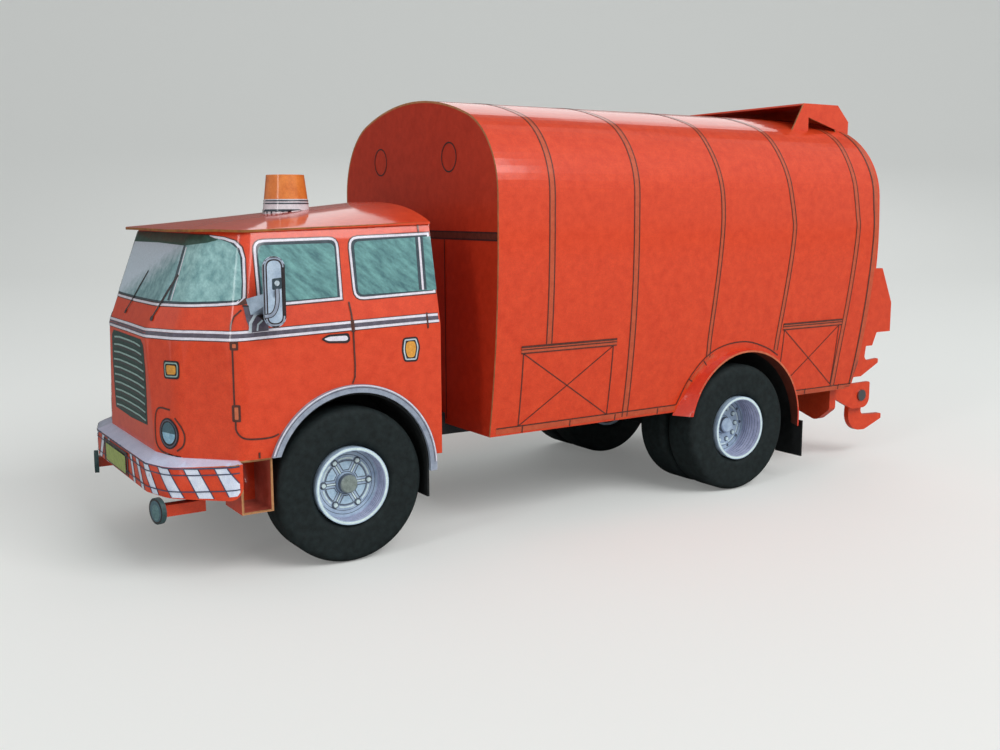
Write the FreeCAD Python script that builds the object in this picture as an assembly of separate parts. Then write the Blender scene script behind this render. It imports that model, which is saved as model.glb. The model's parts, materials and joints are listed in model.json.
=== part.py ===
import FreeCAD, Part
import math
import os

# Card model of a forward-control garbage truck, about 1:32, in millimetres.
# +X is forward, +Y is the truck's left, +Z is up and the tyres stand on z = 0.
# Lengths along X are measured from the front axle. The finished pieces are then
# moved so that the middle of the whole truck's length is at x = 0.

V = FreeCAD.Vector
os.makedirs("parts", exist_ok=True)

# Card, board and running clearances
CARD = 0.5
BOARD = 1.0
PIN_FIT = 0.06
TURN_GAP = 0.3

# Wheels
TYRE_RADIUS = 17.0
TYRE_WIDTH = 10.0
TYRE_SHOULDER = 1.9
TYRE_BULGE = 0.5
RIM_RADIUS = 8.5
RIM_WALL = 0.8
RIM_LIP = 0.3
DISC = 1.0
FRONT_DISH = 3.4
REAR_DISH = 6.2
HUB_RADIUS = 2.5
HUB_LENGTH = 1.9
HUB_CAP = 0.6
NUT_RADIUS = 0.55
NUT_HEIGHT = 0.5
FRONT_NUTS = 6
FRONT_NUT_CIRCLE = 5.6
REAR_NUTS = 10
REAR_NUT_CIRCLE = 4.4
WHEELBASE = 113.2
FRONT_FACE = 37.2
REAR_FACE = 38.7
TWIN_GAP = 1.4

# Axles, springs and frame
PIN_RADIUS = 1.4
BRAKE_RADIUS = 5.6
BRAKE_WIDTH = 3.6
BEAM_WIDTH = 3.4
BEAM_HEIGHT = 3.2
BEAM_DROP = 1.6
KNUCKLE_RADIUS = 1.9
KNUCKLE_HEIGHT = 8.0
REAR_TUBE_RADIUS = 2.2
DIFF_RADIUS = 5.2
DIFF_WIDTH = 7.0
SPRING_WIDTH = 1.6
SPRING_LEAF = 0.6
SPRING_REACH = 17.0
SPRING_RISE = 2.6
SPRING_LEAVES = 3
HANGER_LENGTH = 2.4
RAIL_OUTER = 14.5
RAIL_WIDTH = 2.5
RAIL_HEIGHT = 5.5
MEMBER = 2.0
FRAME_FRONT = 33.0
FRAME_TAIL_SET = 44.8
ENGINE_LENGTH = 26.0
ENGINE_WIDTH = 17.0
ENGINE_BOTTOM = 13.5
ENGINE_FRONT = 27.0
GEARBOX_LENGTH = 14.0
GEARBOX_WIDTH = 9.0
SHAFT_RADIUS = 1.3

# Cab
CAB_HALF = 37.5
CAB_REAR = 22.0
CAB_SKIRT = 21.5
CAB_FOOT = 25.6
FOOT_NOSE = 36.2
FOOT_KINK = 19.0
FOOT_BEND_X = 34.0
FOOT_BEND_Y = 27.0
FOOT_CORNER = 23.4
BELT = 50.3
BELT_NOSE = 36.2
BELT_KINK = 15.0
BELT_BEND_X = 33.2
BELT_BEND_Y = 26.0
BELT_CORNER = 24.2
EAVES = 71.6
EAVES_HALF = 33.0
EAVES_NOSE = 26.9
EAVES_KINK = 20.0
EAVES_BEND_X = 25.2
EAVES_BEND_Y = 26.4
EAVES_CORNER = 20.2
KINK_RADIUS = 5.0
BEND_RADIUS = 9.0
CORNER_RADIUS = 5.0
ROOF_CARD = 0.5
ROOF_FRONT_EDGE = 71.3
ROOF_REAR_EDGE = 72.8
ROOF_CROWN_FRONT = 0.4
ROOF_CROWN_REAR = 4.5
ROOF_SIDE_LAP = 0.4
VISOR_NOSE = 31.0
VISOR_KINK = 16.6
VISOR_BEND_X = 28.9
VISOR_BEND_Y = 24.6
VISOR_CORNER = 21.4
ARCH_X = -0.6
ARCH_Z = 19.3
ARCH_RADIUS = 18.0
ARCH_TRIM = 1.7
ARCH_PROUD = 0.8
ARCH_TAIL = 18.0
LINER_INNER = 21.6
LINER_TAIL = 12.0

# Cab fittings
BEACON_X = -2.0
BEACON_FOOT_RADIUS = 5.4
BEACON_TOP_RADIUS = 4.4
BEACON_BAND_TOP = 78.0
BEACON_TOP = 83.6
BUMPER_NOSE = 39.1
BUMPER_KINK = 21.0
BUMPER_BEND_X = 36.8
BUMPER_BEND_Y = 29.2
BUMPER_CORNER = 26.4
BUMPER_HALF = 38.8
BUMPER_RADIUS = 3.0
BUMPER_END = 24.6
BUMPER_BOTTOM = 17.9
BUMPER_FRONT_EDGE = 24.1
BUMPER_REAR_EDGE = 25.3
LEDGE_TUCK = 0.9
STEP_SET = 1.6
STEP_REAR = 17.8
STEP_LENGTH = 6.8
STEP_DEPTH = 10.0
STEP_BOTTOM = 14.3
LAMP_RADIUS = 2.75
LAMP_Y = 26.6
LAMP_Z = 15.0
LAMP_FACE = 39.0
LAMP_TURN = 13.0
LAMP_ARM_LENGTH = 9.0
LAMP_ARM_SIZE = 2.4
LAMP_HANGER = 2.2
MIRROR_X = 17.6
MIRROR_Z = 59.6
MIRROR_Y = 41.0
MIRROR_WIDTH = 4.6
MIRROR_HEIGHT = 14.0
MIRROR_ROOT_LENGTH = 3.6
MIRROR_ROOT_HEIGHT = 4.6
MIRROR_TIP = 2.0

# Load body
BODY_FRONT = 36.1
BODY_HALF = 39.5
BODY_FOOT = 22.9
BODY_TOP = 101.9
CROWN_RADIUS = 80.0
SHOULDER_RADIUS = 20.0
SIDE_BULGE = 266.0
BULGE_DROP = 31.9
TAIL_TOP_SET = 49.4
TAIL_MID_SET = 52.8
TAIL_FOOT_SET = 48.4
REAR_MID_DROP = 39.9
REAR_ARCH_SET = 1.4
REAR_ARCH_Z = 14.6
REAR_ARCH_RADIUS = 23.2
REAR_ARCH_PLANE = 35.0
LIP_SET = 2.0
LIP_Z = 17.6
LIP_RADIUS = 20.3
LIP_PLANE = 39.5
LIP_FRONT_FOOT = 22.0
LIP_REAR_FOOT = 15.2
FLAP_Y = 29.0
FLAP_WIDTH = 9.5
FLAP_FOOT = 6.0

# Hood over the rear of the roof
HOOD_HALF = 27.5
HOOD_LENGTH = 23.7
HOOD_FRONT_RAKE = 4.9
HOOD_REAR_RAKE = 4.7
HOOD_TAIL_SET = 2.6
HOOD_SLOT_FRONT = 16.8
HOOD_SLOT_REAR = 5.4
HOOD_SLOT_RISE = 1.4
HOOD_RISE = 2.6
HOOD_SHOULDER_DROP = 1.9
HOOD_FOOT_DROP = 5.7
HOOD_LINING = 9.0

# Bin lifter at the rear
LIFTER_Y = 30.0
LIFTER_TOP = 57.2
LIFTER_REACH_SET = 22.2
LIFTER_WAIST_SET = 16.0
LIFTER_KNEE = 46.6
LIFTER_HEEL = 37.8
HOOK_TIP_SET = 17.2
HOOK_Z = 29.4
HOOK_FOOT = 24.8
LUG_SET = 10.0
LUG_Z = 19.0
LUG_RADIUS = 3.9
LUG_ROUND = 3.0
LIFTER_PIN = 1.0
ARM_WIDTH = 1.6
ARM_LENGTH = 12.2
ARM_TOE = 1.6
ARM_HEEL = 11.0
BAR_RADIUS = 1.3
BEAM_SAG = 8.0
BEAM_SLOPE = 5.0
BEAM_ROUND = 3.0

# Sizes that follow from those above
FRAME_TOP = CAB_FOOT
BODY_REAR_TOP = WHEELBASE + TAIL_TOP_SET
BODY_REAR_MID = WHEELBASE + TAIL_MID_SET
BODY_REAR_FOOT = WHEELBASE + TAIL_FOOT_SET
FRAME_REAR = WHEELBASE + FRAME_TAIL_SET
HOOD_REAR_SHOULDER = BODY_REAR_TOP + HOOD_TAIL_SET
HOOD_REAR_TOP = HOOD_REAR_SHOULDER - HOOD_REAR_RAKE
HOOD_FRONT_FOOT = HOOD_REAR_SHOULDER - HOOD_LENGTH
HOOD_FRONT_TOP = HOOD_FRONT_FOOT + HOOD_FRONT_RAKE
LIFTER_REACH = BODY_REAR_TOP + LIFTER_REACH_SET
LIFTER_WAIST = BODY_REAR_TOP + LIFTER_WAIST_SET
HOOK_TIP = BODY_REAR_TOP + HOOK_TIP_SET
LUG_X = BODY_REAR_TOP + LUG_SET
LAMP_REACH = LAMP_FACE + LAMP_RADIUS * math.sin(math.radians(LAMP_TURN))
MIDDLE_X = (max(BUMPER_NOSE, LAMP_REACH) - max(LIFTER_REACH, LUG_X + ARM_LENGTH)) / 2
REAR_X = -WHEELBASE
RAIL_INNER = RAIL_OUTER - RAIL_WIDTH
FRAME_BOTTOM = FRAME_TOP - RAIL_HEIGHT
SPRING_Y = RAIL_OUTER + 0.2 + SPRING_WIDTH / 2
FLOOR_TOP = FRAME_TOP + CARD
REAR_LINER_INNER = RAIL_OUTER + TURN_GAP
SHOULDER_Z = BODY_TOP - SHOULDER_RADIUS
BEAM_REAR_X = -BODY_REAR_FOOT + BOARD
REAR_ARCH_X = WHEELBASE + REAR_ARCH_SET
LIP_X = WHEELBASE + LIP_SET
BULGE_START = BODY_TOP - BULGE_DROP
REAR_MID_Z = BODY_TOP - REAR_MID_DROP
HOOD_TOP = BODY_TOP + HOOD_RISE
HOOD_SHOULDER = BODY_TOP - HOOD_SHOULDER_DROP
HOOD_FOOT = BODY_TOP - HOOD_FOOT_DROP


def turn_corner(before, corner, after, radius):
    """Start, middle and end of the arc that rounds one corner of an outline."""
    to_before = (before - corner).normalize()
    to_after = (after - corner).normalize()
    half = to_before.getAngle(to_after) / 2
    reach = radius / math.tan(half)
    middle_way = (to_before + to_after).normalize()
    centre = corner + middle_way * (radius / math.sin(half))
    return corner + to_before * reach, centre - middle_way * radius, corner + to_after * reach


def outline(corners, put):
    """Closed wire through corners (a, b, radius); put turns (a, b) into a point."""
    points = [V(a, b, 0) for a, b, radius in corners]
    spans = []
    for index, (a, b, radius) in enumerate(corners):
        before = points[index - 1]
        after = points[(index + 1) % len(points)]
        if radius > 0:
            spans.append(turn_corner(before, points[index], after, radius))
        else:
            spans.append((points[index],))
    edges = []
    for index, span in enumerate(spans):
        if len(span) == 3:
            edges.append(Part.Arc(*[put(p.x, p.y) for p in span]).toShape())
        start = span[-1]
        end = spans[(index + 1) % len(spans)][0]
        if start.distanceToPoint(end) > 1e-6:
            edges.append(Part.makeLine(put(start.x, start.y), put(end.x, end.y)))
    return Part.Wire(edges)


def upright_plate(corners, y_low, y_high):
    """Plate with an (x, z) outline between two planes across the truck."""
    face = Part.Face(outline(corners, lambda a, b: V(a, y_low, b)))
    return face.extrude(V(0, y_high - y_low, 0))


def flat_plate(corners, z_low, z_high):
    """Plate with an (x, y) outline between two levels."""
    face = Part.Face(outline(corners, lambda a, b: V(a, b, z_low)))
    return face.extrude(V(0, 0, z_high - z_low))


def cross_plate(corners, x_low, x_high):
    """Plate with a (y, z) outline between two planes along the truck."""
    face = Part.Face(outline(corners, lambda a, b: V(x_low, a, b)))
    return face.extrude(V(x_high - x_low, 0, 0))


def box(x_low, x_high, y_low, y_high, z_low, z_high):
    return Part.makeBox(x_high - x_low, y_high - y_low, z_high - z_low, V(x_low, y_low, z_low))


def bar_across(radius, x, z, y_low, y_high):
    """Round bar along Y."""
    return Part.makeCylinder(radius, y_high - y_low, V(x, y_low, z), V(0, 1, 0))


def bar_along(radius, y, z, x_low, x_high):
    """Round bar along X."""
    return Part.makeCylinder(radius, x_high - x_low, V(x_low, y, z), V(1, 0, 0))


def other_side(shape):
    return shape.mirror(V(0, 0, 0), V(0, 1, 0))


def both_sides(shape):
    return Part.makeCompound([shape, other_side(shape)])


def fuse(shapes):
    return shapes[0].multiFuse(shapes[1:]).removeSplitter()


def same_side(shape):
    return shape


SIDES = (("left", same_side), ("right", other_side))
NODES = {}


def keep(name, shape):
    """Move a finished piece to the truck's own frame and keep it under its name."""
    moved = shape.copy()
    moved.translate(V(-MIDDLE_X, 0, 0))
    NODES[name] = moved


# Tyres and rims

def tyre(face_y):
    """Tyre of stacked card with its outer face at face_y, turned about the axle line."""
    back_y = face_y - TYRE_WIDTH
    shoulder = TYRE_RADIUS - TYRE_SHOULDER
    half = [(RIM_RADIUS, face_y - TYRE_BULGE), (shoulder, face_y), (TYRE_RADIUS, face_y - TYRE_SHOULDER)]
    profile = half + [(radius, back_y + face_y - y) for radius, y in half[::-1]]
    points = [V(radius, y, 0) for radius, y in profile]
    face = Part.Face(Part.makePolygon(points + points[:1]))
    return face.revolve(V(0, 0, 0), V(0, 1, 0), 360)


def nut(x, z, y_low, y_high):
    """Hexagonal nut along Y."""
    corners = [V(x + NUT_RADIUS * math.cos(math.radians(60 * k)), y_low,
                 z + NUT_RADIUS * math.sin(math.radians(60 * k))) for k in range(6)]
    return Part.Face(Part.makePolygon(corners + corners[:1])).extrude(V(0, y_high - y_low, 0))


def rim(face_y, width, dish, nuts, nut_circle):
    """Rim barrel, disc, hub and nuts; the hub's blind hole takes the axle pin."""
    lip_y = face_y + RIM_LIP
    inside = RIM_RADIUS - RIM_WALL
    disc_y = face_y - dish
    hub_y = disc_y + HUB_LENGTH
    hole = PIN_RADIUS + PIN_FIT
    profile = [
        (RIM_RADIUS, face_y - width), (RIM_RADIUS, lip_y), (inside, lip_y), (inside, disc_y),
        (HUB_RADIUS, disc_y), (HUB_RADIUS, hub_y), (0, hub_y), (0, hub_y - HUB_CAP),
        (hole, hub_y - HUB_CAP), (hole, disc_y - DISC), (inside, disc_y - DISC),
        (inside, face_y - width)]
    points = [V(radius, y, 0) for radius, y in profile]
    face = Part.Face(Part.makePolygon(points + points[:1]))
    wheel = face.revolve(V(0, 0, 0), V(0, 1, 0), 360)
    pieces = [wheel]
    for index in range(nuts):
        angle = 2 * math.pi * (index + 0.5) / nuts
        pieces.append(nut(nut_circle * math.cos(angle), nut_circle * math.sin(angle),
                          disc_y - DISC / 2, disc_y + NUT_HEIGHT))
    return fuse(pieces)


def at_axle(shape, x):
    moved = shape.copy()
    moved.translate(V(x, 0, TYRE_RADIUS))
    return moved


INNER_FACE = REAR_FACE - TYRE_WIDTH - TWIN_GAP
front_tyre = at_axle(tyre(FRONT_FACE), 0)
front_rim = at_axle(rim(FRONT_FACE, TYRE_WIDTH, FRONT_DISH, FRONT_NUTS, FRONT_NUT_CIRCLE), 0)
rear_outer_tyre = at_axle(tyre(REAR_FACE), REAR_X)
rear_inner_tyre = at_axle(tyre(INNER_FACE), REAR_X)
rear_rim = at_axle(rim(REAR_FACE, 2 * TYRE_WIDTH + TWIN_GAP, REAR_DISH, REAR_NUTS,
                       REAR_NUT_CIRCLE), REAR_X)
for side, place in SIDES:
    keep("tyre_front_" + side, place(front_tyre))
    keep("rim_front_" + side, place(front_rim))
    keep("tyre_rear_" + side + "_outer", place(rear_outer_tyre))
    keep("tyre_rear_" + side + "_inner", place(rear_inner_tyre))
    keep("rim_rear_" + side, place(rear_rim))


# Axles: each ends in a pin that the hub turns on

def axle_end(face_y, width, dish, start_y):
    """Brake drum and pin of the left end, with the pin's tip just inside the hub cap."""
    back_y = face_y - width
    tip_y = face_y - dish + HUB_LENGTH - HUB_CAP - TURN_GAP
    drum = bar_across(BRAKE_RADIUS, 0, TYRE_RADIUS, back_y, back_y + BRAKE_WIDTH)
    pin = bar_across(PIN_RADIUS, 0, TYRE_RADIUS, start_y, tip_y)
    return [drum, pin]


def front_axle():
    back_y = FRONT_FACE - TYRE_WIDTH
    knuckle_y = back_y - TURN_GAP - KNUCKLE_RADIUS
    middle_z = TYRE_RADIUS - BEAM_DROP
    beam = box(-BEAM_WIDTH / 2, BEAM_WIDTH / 2, -knuckle_y, knuckle_y,
               middle_z - BEAM_HEIGHT / 2, middle_z + BEAM_HEIGHT / 2)
    side = axle_end(FRONT_FACE, TYRE_WIDTH, FRONT_DISH, knuckle_y)
    side.append(Part.makeCylinder(KNUCKLE_RADIUS, KNUCKLE_HEIGHT,
                                  V(0, knuckle_y, TYRE_RADIUS - KNUCKLE_HEIGHT / 2)))
    end = side[0].fuse(side[1]).fuse(side[2])
    return beam.fuse(end).fuse(other_side(end))


def rear_axle():
    width = 2 * TYRE_WIDTH + TWIN_GAP
    back_y = REAR_FACE - width
    tube = bar_across(REAR_TUBE_RADIUS, 0, TYRE_RADIUS, -back_y, back_y)
    side = axle_end(REAR_FACE, width, REAR_DISH, 0)
    bowl = bar_across(DIFF_RADIUS, 0, TYRE_RADIUS, -DIFF_WIDTH / 2, DIFF_WIDTH / 2)
    snout = bar_along(REAR_TUBE_RADIUS, 0, TYRE_RADIUS, 0, DIFF_RADIUS + 2)
    axle = fuse([tube, bowl, snout] + side + [other_side(piece) for piece in side])
    axle.translate(V(REAR_X, 0, 0))
    return axle


keep("front_axle", front_axle())
keep("rear_axle", rear_axle())


# Leaf springs between each axle and the frame

def leaf_spring(axle_x, seat_z):
    """Bowed leaf pack of the left side with a hanger at each end."""
    low = SPRING_Y - SPRING_WIDTH / 2
    high = SPRING_Y + SPRING_WIDTH / 2
    pieces = []
    for leaf in range(SPRING_LEAVES):
        reach = SPRING_REACH * (1 - 0.25 * (SPRING_LEAVES - 1 - leaf))
        rise = SPRING_RISE * (reach / SPRING_REACH) ** 2
        base = seat_z + SPRING_LEAF * leaf
        lower = Part.Arc(V(-reach, low, base + rise), V(0, low, base), V(reach, low, base + rise))
        upper = Part.Arc(V(-reach, low, base + rise + SPRING_LEAF), V(0, low, base + SPRING_LEAF),
                         V(reach, low, base + rise + SPRING_LEAF))
        ends = [Part.makeLine(V(x, low, base + rise), V(x, low, base + rise + SPRING_LEAF))
                for x in (-reach, reach)]
        wire = Part.Wire(Part.__sortEdges__([lower.toShape(), upper.toShape()] + ends))
        pieces.append(Part.Face(wire).extrude(V(0, high - low, 0)))
    eye_z = seat_z + SPRING_LEAF * (SPRING_LEAVES - 0.5) + SPRING_RISE
    for sign in (-1, 1):
        x = sign * SPRING_REACH
        pieces.append(bar_across(HANGER_LENGTH / 2, x, eye_z, RAIL_OUTER, high))
    spring = fuse(pieces)
    spring.translate(V(axle_x, 0, 0))
    return spring


front_seat = TYRE_RADIUS - BEAM_DROP + BEAM_HEIGHT / 2
rear_seat = TYRE_RADIUS + REAR_TUBE_RADIUS
keep("front_springs", both_sides(leaf_spring(0, front_seat)))
keep("rear_springs", both_sides(leaf_spring(REAR_X, rear_seat)))


# Ladder frame, engine block, gearbox and propeller shaft

def frame():
    rail = box(-FRAME_REAR, FRAME_FRONT, RAIL_INNER, RAIL_OUTER, FRAME_BOTTOM, FRAME_TOP)
    channel = box(-FRAME_REAR - 1, FRAME_FRONT + 1, RAIL_INNER - 1, RAIL_OUTER - 2 * CARD,
                  FRAME_BOTTOM + 2 * CARD, FRAME_TOP - 2 * CARD)
    rail = rail.cut(channel)
    pieces = [rail, other_side(rail)]
    behind_cab = -CAB_REAR - 2 * MEMBER
    ahead_of_axle = REAR_X + SPRING_REACH + 2 * MEMBER
    member_x = [FRAME_FRONT - 2 * MEMBER, behind_cab, (behind_cab + ahead_of_axle) / 2,
                ahead_of_axle, REAR_X - SPRING_REACH - 2 * MEMBER, -FRAME_REAR]
    for x in member_x:
        pieces.append(box(x, x + MEMBER, -RAIL_OUTER + CARD, RAIL_OUTER - CARD,
                          FRAME_BOTTOM + CARD, FRAME_TOP - CARD))
    return fuse(pieces)


def engine():
    block = box(ENGINE_FRONT - ENGINE_LENGTH, ENGINE_FRONT, -ENGINE_WIDTH / 2, ENGINE_WIDTH / 2,
                front_seat + TURN_GAP, FRAME_TOP)
    sump = box(BEAM_WIDTH / 2 + 1, ENGINE_FRONT - 3, -ENGINE_WIDTH / 2 + 2, ENGINE_WIDTH / 2 - 2,
               ENGINE_BOTTOM, front_seat + 1)
    gearbox_front = ENGINE_FRONT - ENGINE_LENGTH
    gearbox = box(gearbox_front - GEARBOX_LENGTH, gearbox_front + 1, -GEARBOX_WIDTH / 2,
                  GEARBOX_WIDTH / 2, front_seat + TURN_GAP, FRAME_TOP - 1)
    return fuse([block, sump, gearbox])


SHAFT_FRONT = ENGINE_FRONT - ENGINE_LENGTH - GEARBOX_LENGTH
SHAFT_REAR = REAR_X + DIFF_RADIUS + 2


def drive_shaft():
    """Shaft from gearbox to axle, just under the cross members, cut square at both ends."""
    start = V(SHAFT_FRONT, 0, FRAME_BOTTOM - SHAFT_RADIUS - TURN_GAP)
    end = V(SHAFT_REAR, 0, TYRE_RADIUS)
    spare = (end - start).normalize() * SHAFT_RADIUS
    length = start.distanceToPoint(end) + 2 * SHAFT_RADIUS
    shaft = Part.makeCylinder(SHAFT_RADIUS, length, start - spare, end - start)
    return shaft.common(box(SHAFT_REAR, SHAFT_FRONT, -RAIL_INNER, RAIL_INNER, 0, FRAME_TOP))


keep("frame", frame())
keep("engine_and_gearbox", engine())
keep("drive_shaft", drive_shaft())


# Cab shell: one wrap of card, foot to belt to eaves

def plan_corners(plan, rear_x, inset):
    """Plan of a wrap round the nose, as corners (x, y, radius) moved inwards by inset."""
    half, nose, kink, bend_x, bend_y, corner_x, corner_radius = plan
    left = [(nose, kink, KINK_RADIUS), (bend_x, bend_y, BEND_RADIUS),
            (corner_x, half, corner_radius), (rear_x, half, 0)]
    whole = [(x, -y, radius) for x, y, radius in left[::-1]] + left
    points = [V(x, y, 0) for x, y, radius in whole]
    moved = []
    for index, (x, y, radius) in enumerate(whole):
        to_before = (points[index - 1] - points[index]).normalize()
        to_after = (points[(index + 1) % len(points)] - points[index]).normalize()
        half_angle = to_before.getAngle(to_after) / 2
        inward = (to_before + to_after).normalize() * (inset / math.sin(half_angle))
        corner = points[index] + inward
        moved.append((corner.x, corner.y, max(radius - inset, 0)))
    moved[0] = (rear_x, moved[0][1], 0)
    moved[-1] = (rear_x, moved[-1][1], 0)
    return moved


def cab_wire(level, inset):
    """Plan of the cab at a level: foot to belt below, belt to eaves and on above."""
    if level <= BELT:
        low, high, z_low, z_high = FOOT_PLAN, BELT_PLAN, CAB_SKIRT, BELT
    else:
        low, high, z_low, z_high = BELT_PLAN, EAVES_PLAN, BELT, EAVES
    share = (level - z_low) / (z_high - z_low)
    plan = [a + (b - a) * share for a, b in zip(low, high)]
    return outline(plan_corners(plan, -CAB_REAR, inset), lambda a, b: V(a, b, level))


FOOT_PLAN = (CAB_HALF, FOOT_NOSE, FOOT_KINK, FOOT_BEND_X, FOOT_BEND_Y, FOOT_CORNER,
             CORNER_RADIUS)
BELT_PLAN = (CAB_HALF, BELT_NOSE, BELT_KINK, BELT_BEND_X, BELT_BEND_Y, BELT_CORNER,
             CORNER_RADIUS)
EAVES_PLAN = (EAVES_HALF, EAVES_NOSE, EAVES_KINK, EAVES_BEND_X, EAVES_BEND_Y, EAVES_CORNER,
              CORNER_RADIUS)
ABOVE_ROOF = ROOF_REAR_EDGE + ROOF_CROWN_REAR + 2


def cab_block(inset):
    lower = Part.makeLoft([cab_wire(CAB_SKIRT, inset), cab_wire(BELT, inset)], True, True)
    upper = Part.makeLoft([cab_wire(BELT, inset), cab_wire(ABOVE_ROOF, inset)], True, True)
    return lower.fuse(upper)


# Roof crown: the edge rises to the rear, and the crown with it

ROOF_HALF = EAVES_HALF + ROOF_SIDE_LAP
CROWN_STEPS = (-1.0, -0.75, -0.5, -0.25, 0.0, 0.25, 0.5, 0.75, 1.0)


def crown_points(x, drop):
    share = (VISOR_NOSE - x) / (VISOR_NOSE + CAB_REAR)
    edge = ROOF_FRONT_EDGE + (ROOF_REAR_EDGE - ROOF_FRONT_EDGE) * share
    crown = ROOF_CROWN_FRONT + (ROOF_CROWN_REAR - ROOF_CROWN_FRONT) * share
    return [V(x, ROOF_HALF * s, edge - drop + crown * (1 - abs(s) ** 3)) for s in CROWN_STEPS]


def crown_edge(x, drop):
    arch = Part.BSplineCurve()
    arch.interpolate(crown_points(x, drop))
    return arch.toShape()


def sheet_wire(x):
    """Section of the roof card at x."""
    upper = crown_points(x, 0)
    lower = crown_points(x, ROOF_CARD)
    return Part.Wire([crown_edge(x, 0), Part.makeLine(upper[-1], lower[-1]),
                      crown_edge(x, ROOF_CARD), Part.makeLine(lower[0], upper[0])])


def filled_wire(x, drop):
    """Section at x of all that lies under the roof, widening down to the belt."""
    crown = crown_points(x, drop)
    half = CAB_HALF + ROOF_SIDE_LAP
    base = [crown[-1], V(x, half, BELT), V(x, half, 0), V(x, -half, 0), V(x, -half, BELT), crown[0]]
    lines = [Part.makeLine(a, b) for a, b in zip(base, base[1:])]
    return Part.Wire([crown_edge(x, drop)] + lines)


def roof():
    sheet = Part.makeLoft([sheet_wire(-CAB_REAR), sheet_wire(VISOR_NOSE + 1)], True, True)
    plan = (ROOF_HALF, VISOR_NOSE, VISOR_KINK, VISOR_BEND_X, VISOR_BEND_Y, VISOR_CORNER,
            CORNER_RADIUS)
    return sheet.common(flat_plate(plan_corners(plan, -CAB_REAR, 0), BELT, ABOVE_ROOF))


def below_roof(drop):
    """Everything under the roof's outer face (drop 0) or its inner face."""
    return Part.makeLoft([filled_wire(-CAB_REAR - 1, drop), filled_wire(FOOT_NOSE + 1, drop)],
                         True, True)


FRAME_NOTCH = box(-FRAME_REAR, FRAME_FRONT, -RAIL_OUTER, RAIL_OUTER, 0, FRAME_TOP)
UNDER_ROOF = below_roof(ROOF_CARD)
OUTSIDE = cab_block(0)
INSIDE = cab_block(CARD)
ROOM = INSIDE.common(UNDER_ROOF)


def below(x_low, x_high, outer_y, level):
    """Everything of the left side under a level, out to outer_y."""
    return box(x_low, x_high, 0, outer_y, -BODY_TOP, level)


def wheel_wells(radius, x, z, inner_y):
    """Round bars over both wheels of an axle, outside the given distance from the middle."""
    return both_sides(bar_across(radius, x, z, inner_y, BODY_HALF + 9))


def cab_shell():
    shell = OUTSIDE.cut(INSIDE).common(UNDER_ROOF)
    shell = shell.cut(box(ARCH_X, FOOT_NOSE + 1, -CAB_HALF - 1, CAB_HALF + 1, 0, CAB_FOOT))
    return shell.cut(wheel_wells(ARCH_RADIUS + ARCH_TRIM, ARCH_X, ARCH_Z, CAB_HALF - 2))


def cab_rear_wall():
    wall = ROOM.common(box(-CAB_REAR, -CAB_REAR + CARD, -CAB_HALF, CAB_HALF, 0, ABOVE_ROOF))
    return wall.cut(FRAME_NOTCH)


def cab_floor():
    floor = ROOM.common(box(-CAB_REAR + CARD, FOOT_NOSE, -CAB_HALF, CAB_HALF,
                            FRAME_TOP, FLOOR_TOP))
    return floor.cut(wheel_wells(ARCH_RADIUS, ARCH_X, ARCH_Z, LINER_INNER))


def front_liner():
    """Black inner mudguard of the left front wheel, its inner wall and its rear flap."""
    outer = bar_across(ARCH_RADIUS, ARCH_X, ARCH_Z, LINER_INNER, CAB_HALF)
    hollow = bar_across(ARCH_RADIUS - CARD, ARCH_X, ARCH_Z, LINER_INNER + CARD, CAB_HALF + 1)
    liner = outer.cut(hollow)
    liner = liner.cut(below(-CAB_REAR, FOOT_NOSE, BODY_HALF, ARCH_Z))
    liner = liner.cut(below(ARCH_X, FOOT_NOSE, BODY_HALF, FRAME_TOP))
    liner = liner.cut(below(-CAB_REAR, FOOT_NOSE, LINER_INNER + CARD, FRAME_TOP))
    flap = box(ARCH_X - ARCH_RADIUS, ARCH_X - ARCH_RADIUS + CARD, LINER_INNER + CARD, CAB_HALF,
               LINER_TAIL, ARCH_Z)
    return fuse([liner, flap])


def front_arch_trim():
    ring = bar_across(ARCH_RADIUS + ARCH_TRIM, ARCH_X, ARCH_Z, CAB_HALF - CARD,
                      CAB_HALF + ARCH_PROUD)
    ring = ring.cut(bar_across(ARCH_RADIUS, ARCH_X, ARCH_Z, 0, BODY_HALF + 9))
    ring = ring.cut(below(ARCH_X, FOOT_NOSE, BODY_HALF, CAB_FOOT))
    return ring.cut(below(-CAB_REAR, ARCH_X, BODY_HALF, ARCH_TAIL))


keep("cab_shell", cab_shell())
keep("cab_roof", roof())
keep("cab_rear_wall", cab_rear_wall())
keep("cab_floor", cab_floor())
for side, place in SIDES:
    keep("front_wheel_liner_" + side, place(front_liner()))
    keep("front_arch_trim_" + side, place(front_arch_trim()))


# Warning beacon on the roof

def beacon_cone(z_low, z_high):
    """Slice of the beacon's cone between two levels."""
    foot_z = crown_points(BEACON_X, 0)[len(CROWN_STEPS) // 2].z
    slope = (BEACON_FOOT_RADIUS - BEACON_TOP_RADIUS) / (BEACON_TOP - foot_z)
    low = BEACON_FOOT_RADIUS - slope * (z_low - foot_z)
    high = BEACON_FOOT_RADIUS - slope * (z_high - foot_z)
    return Part.makeCone(low, high, z_high - z_low, V(BEACON_X, 0, z_low))


keep("beacon_band", beacon_cone(EAVES, BEACON_BAND_TOP).cut(below_roof(0)))
keep("beacon_lens", beacon_cone(BEACON_BAND_TOP, BEACON_TOP))


# Bumper, step boxes, driving lamps and mirrors

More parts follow.
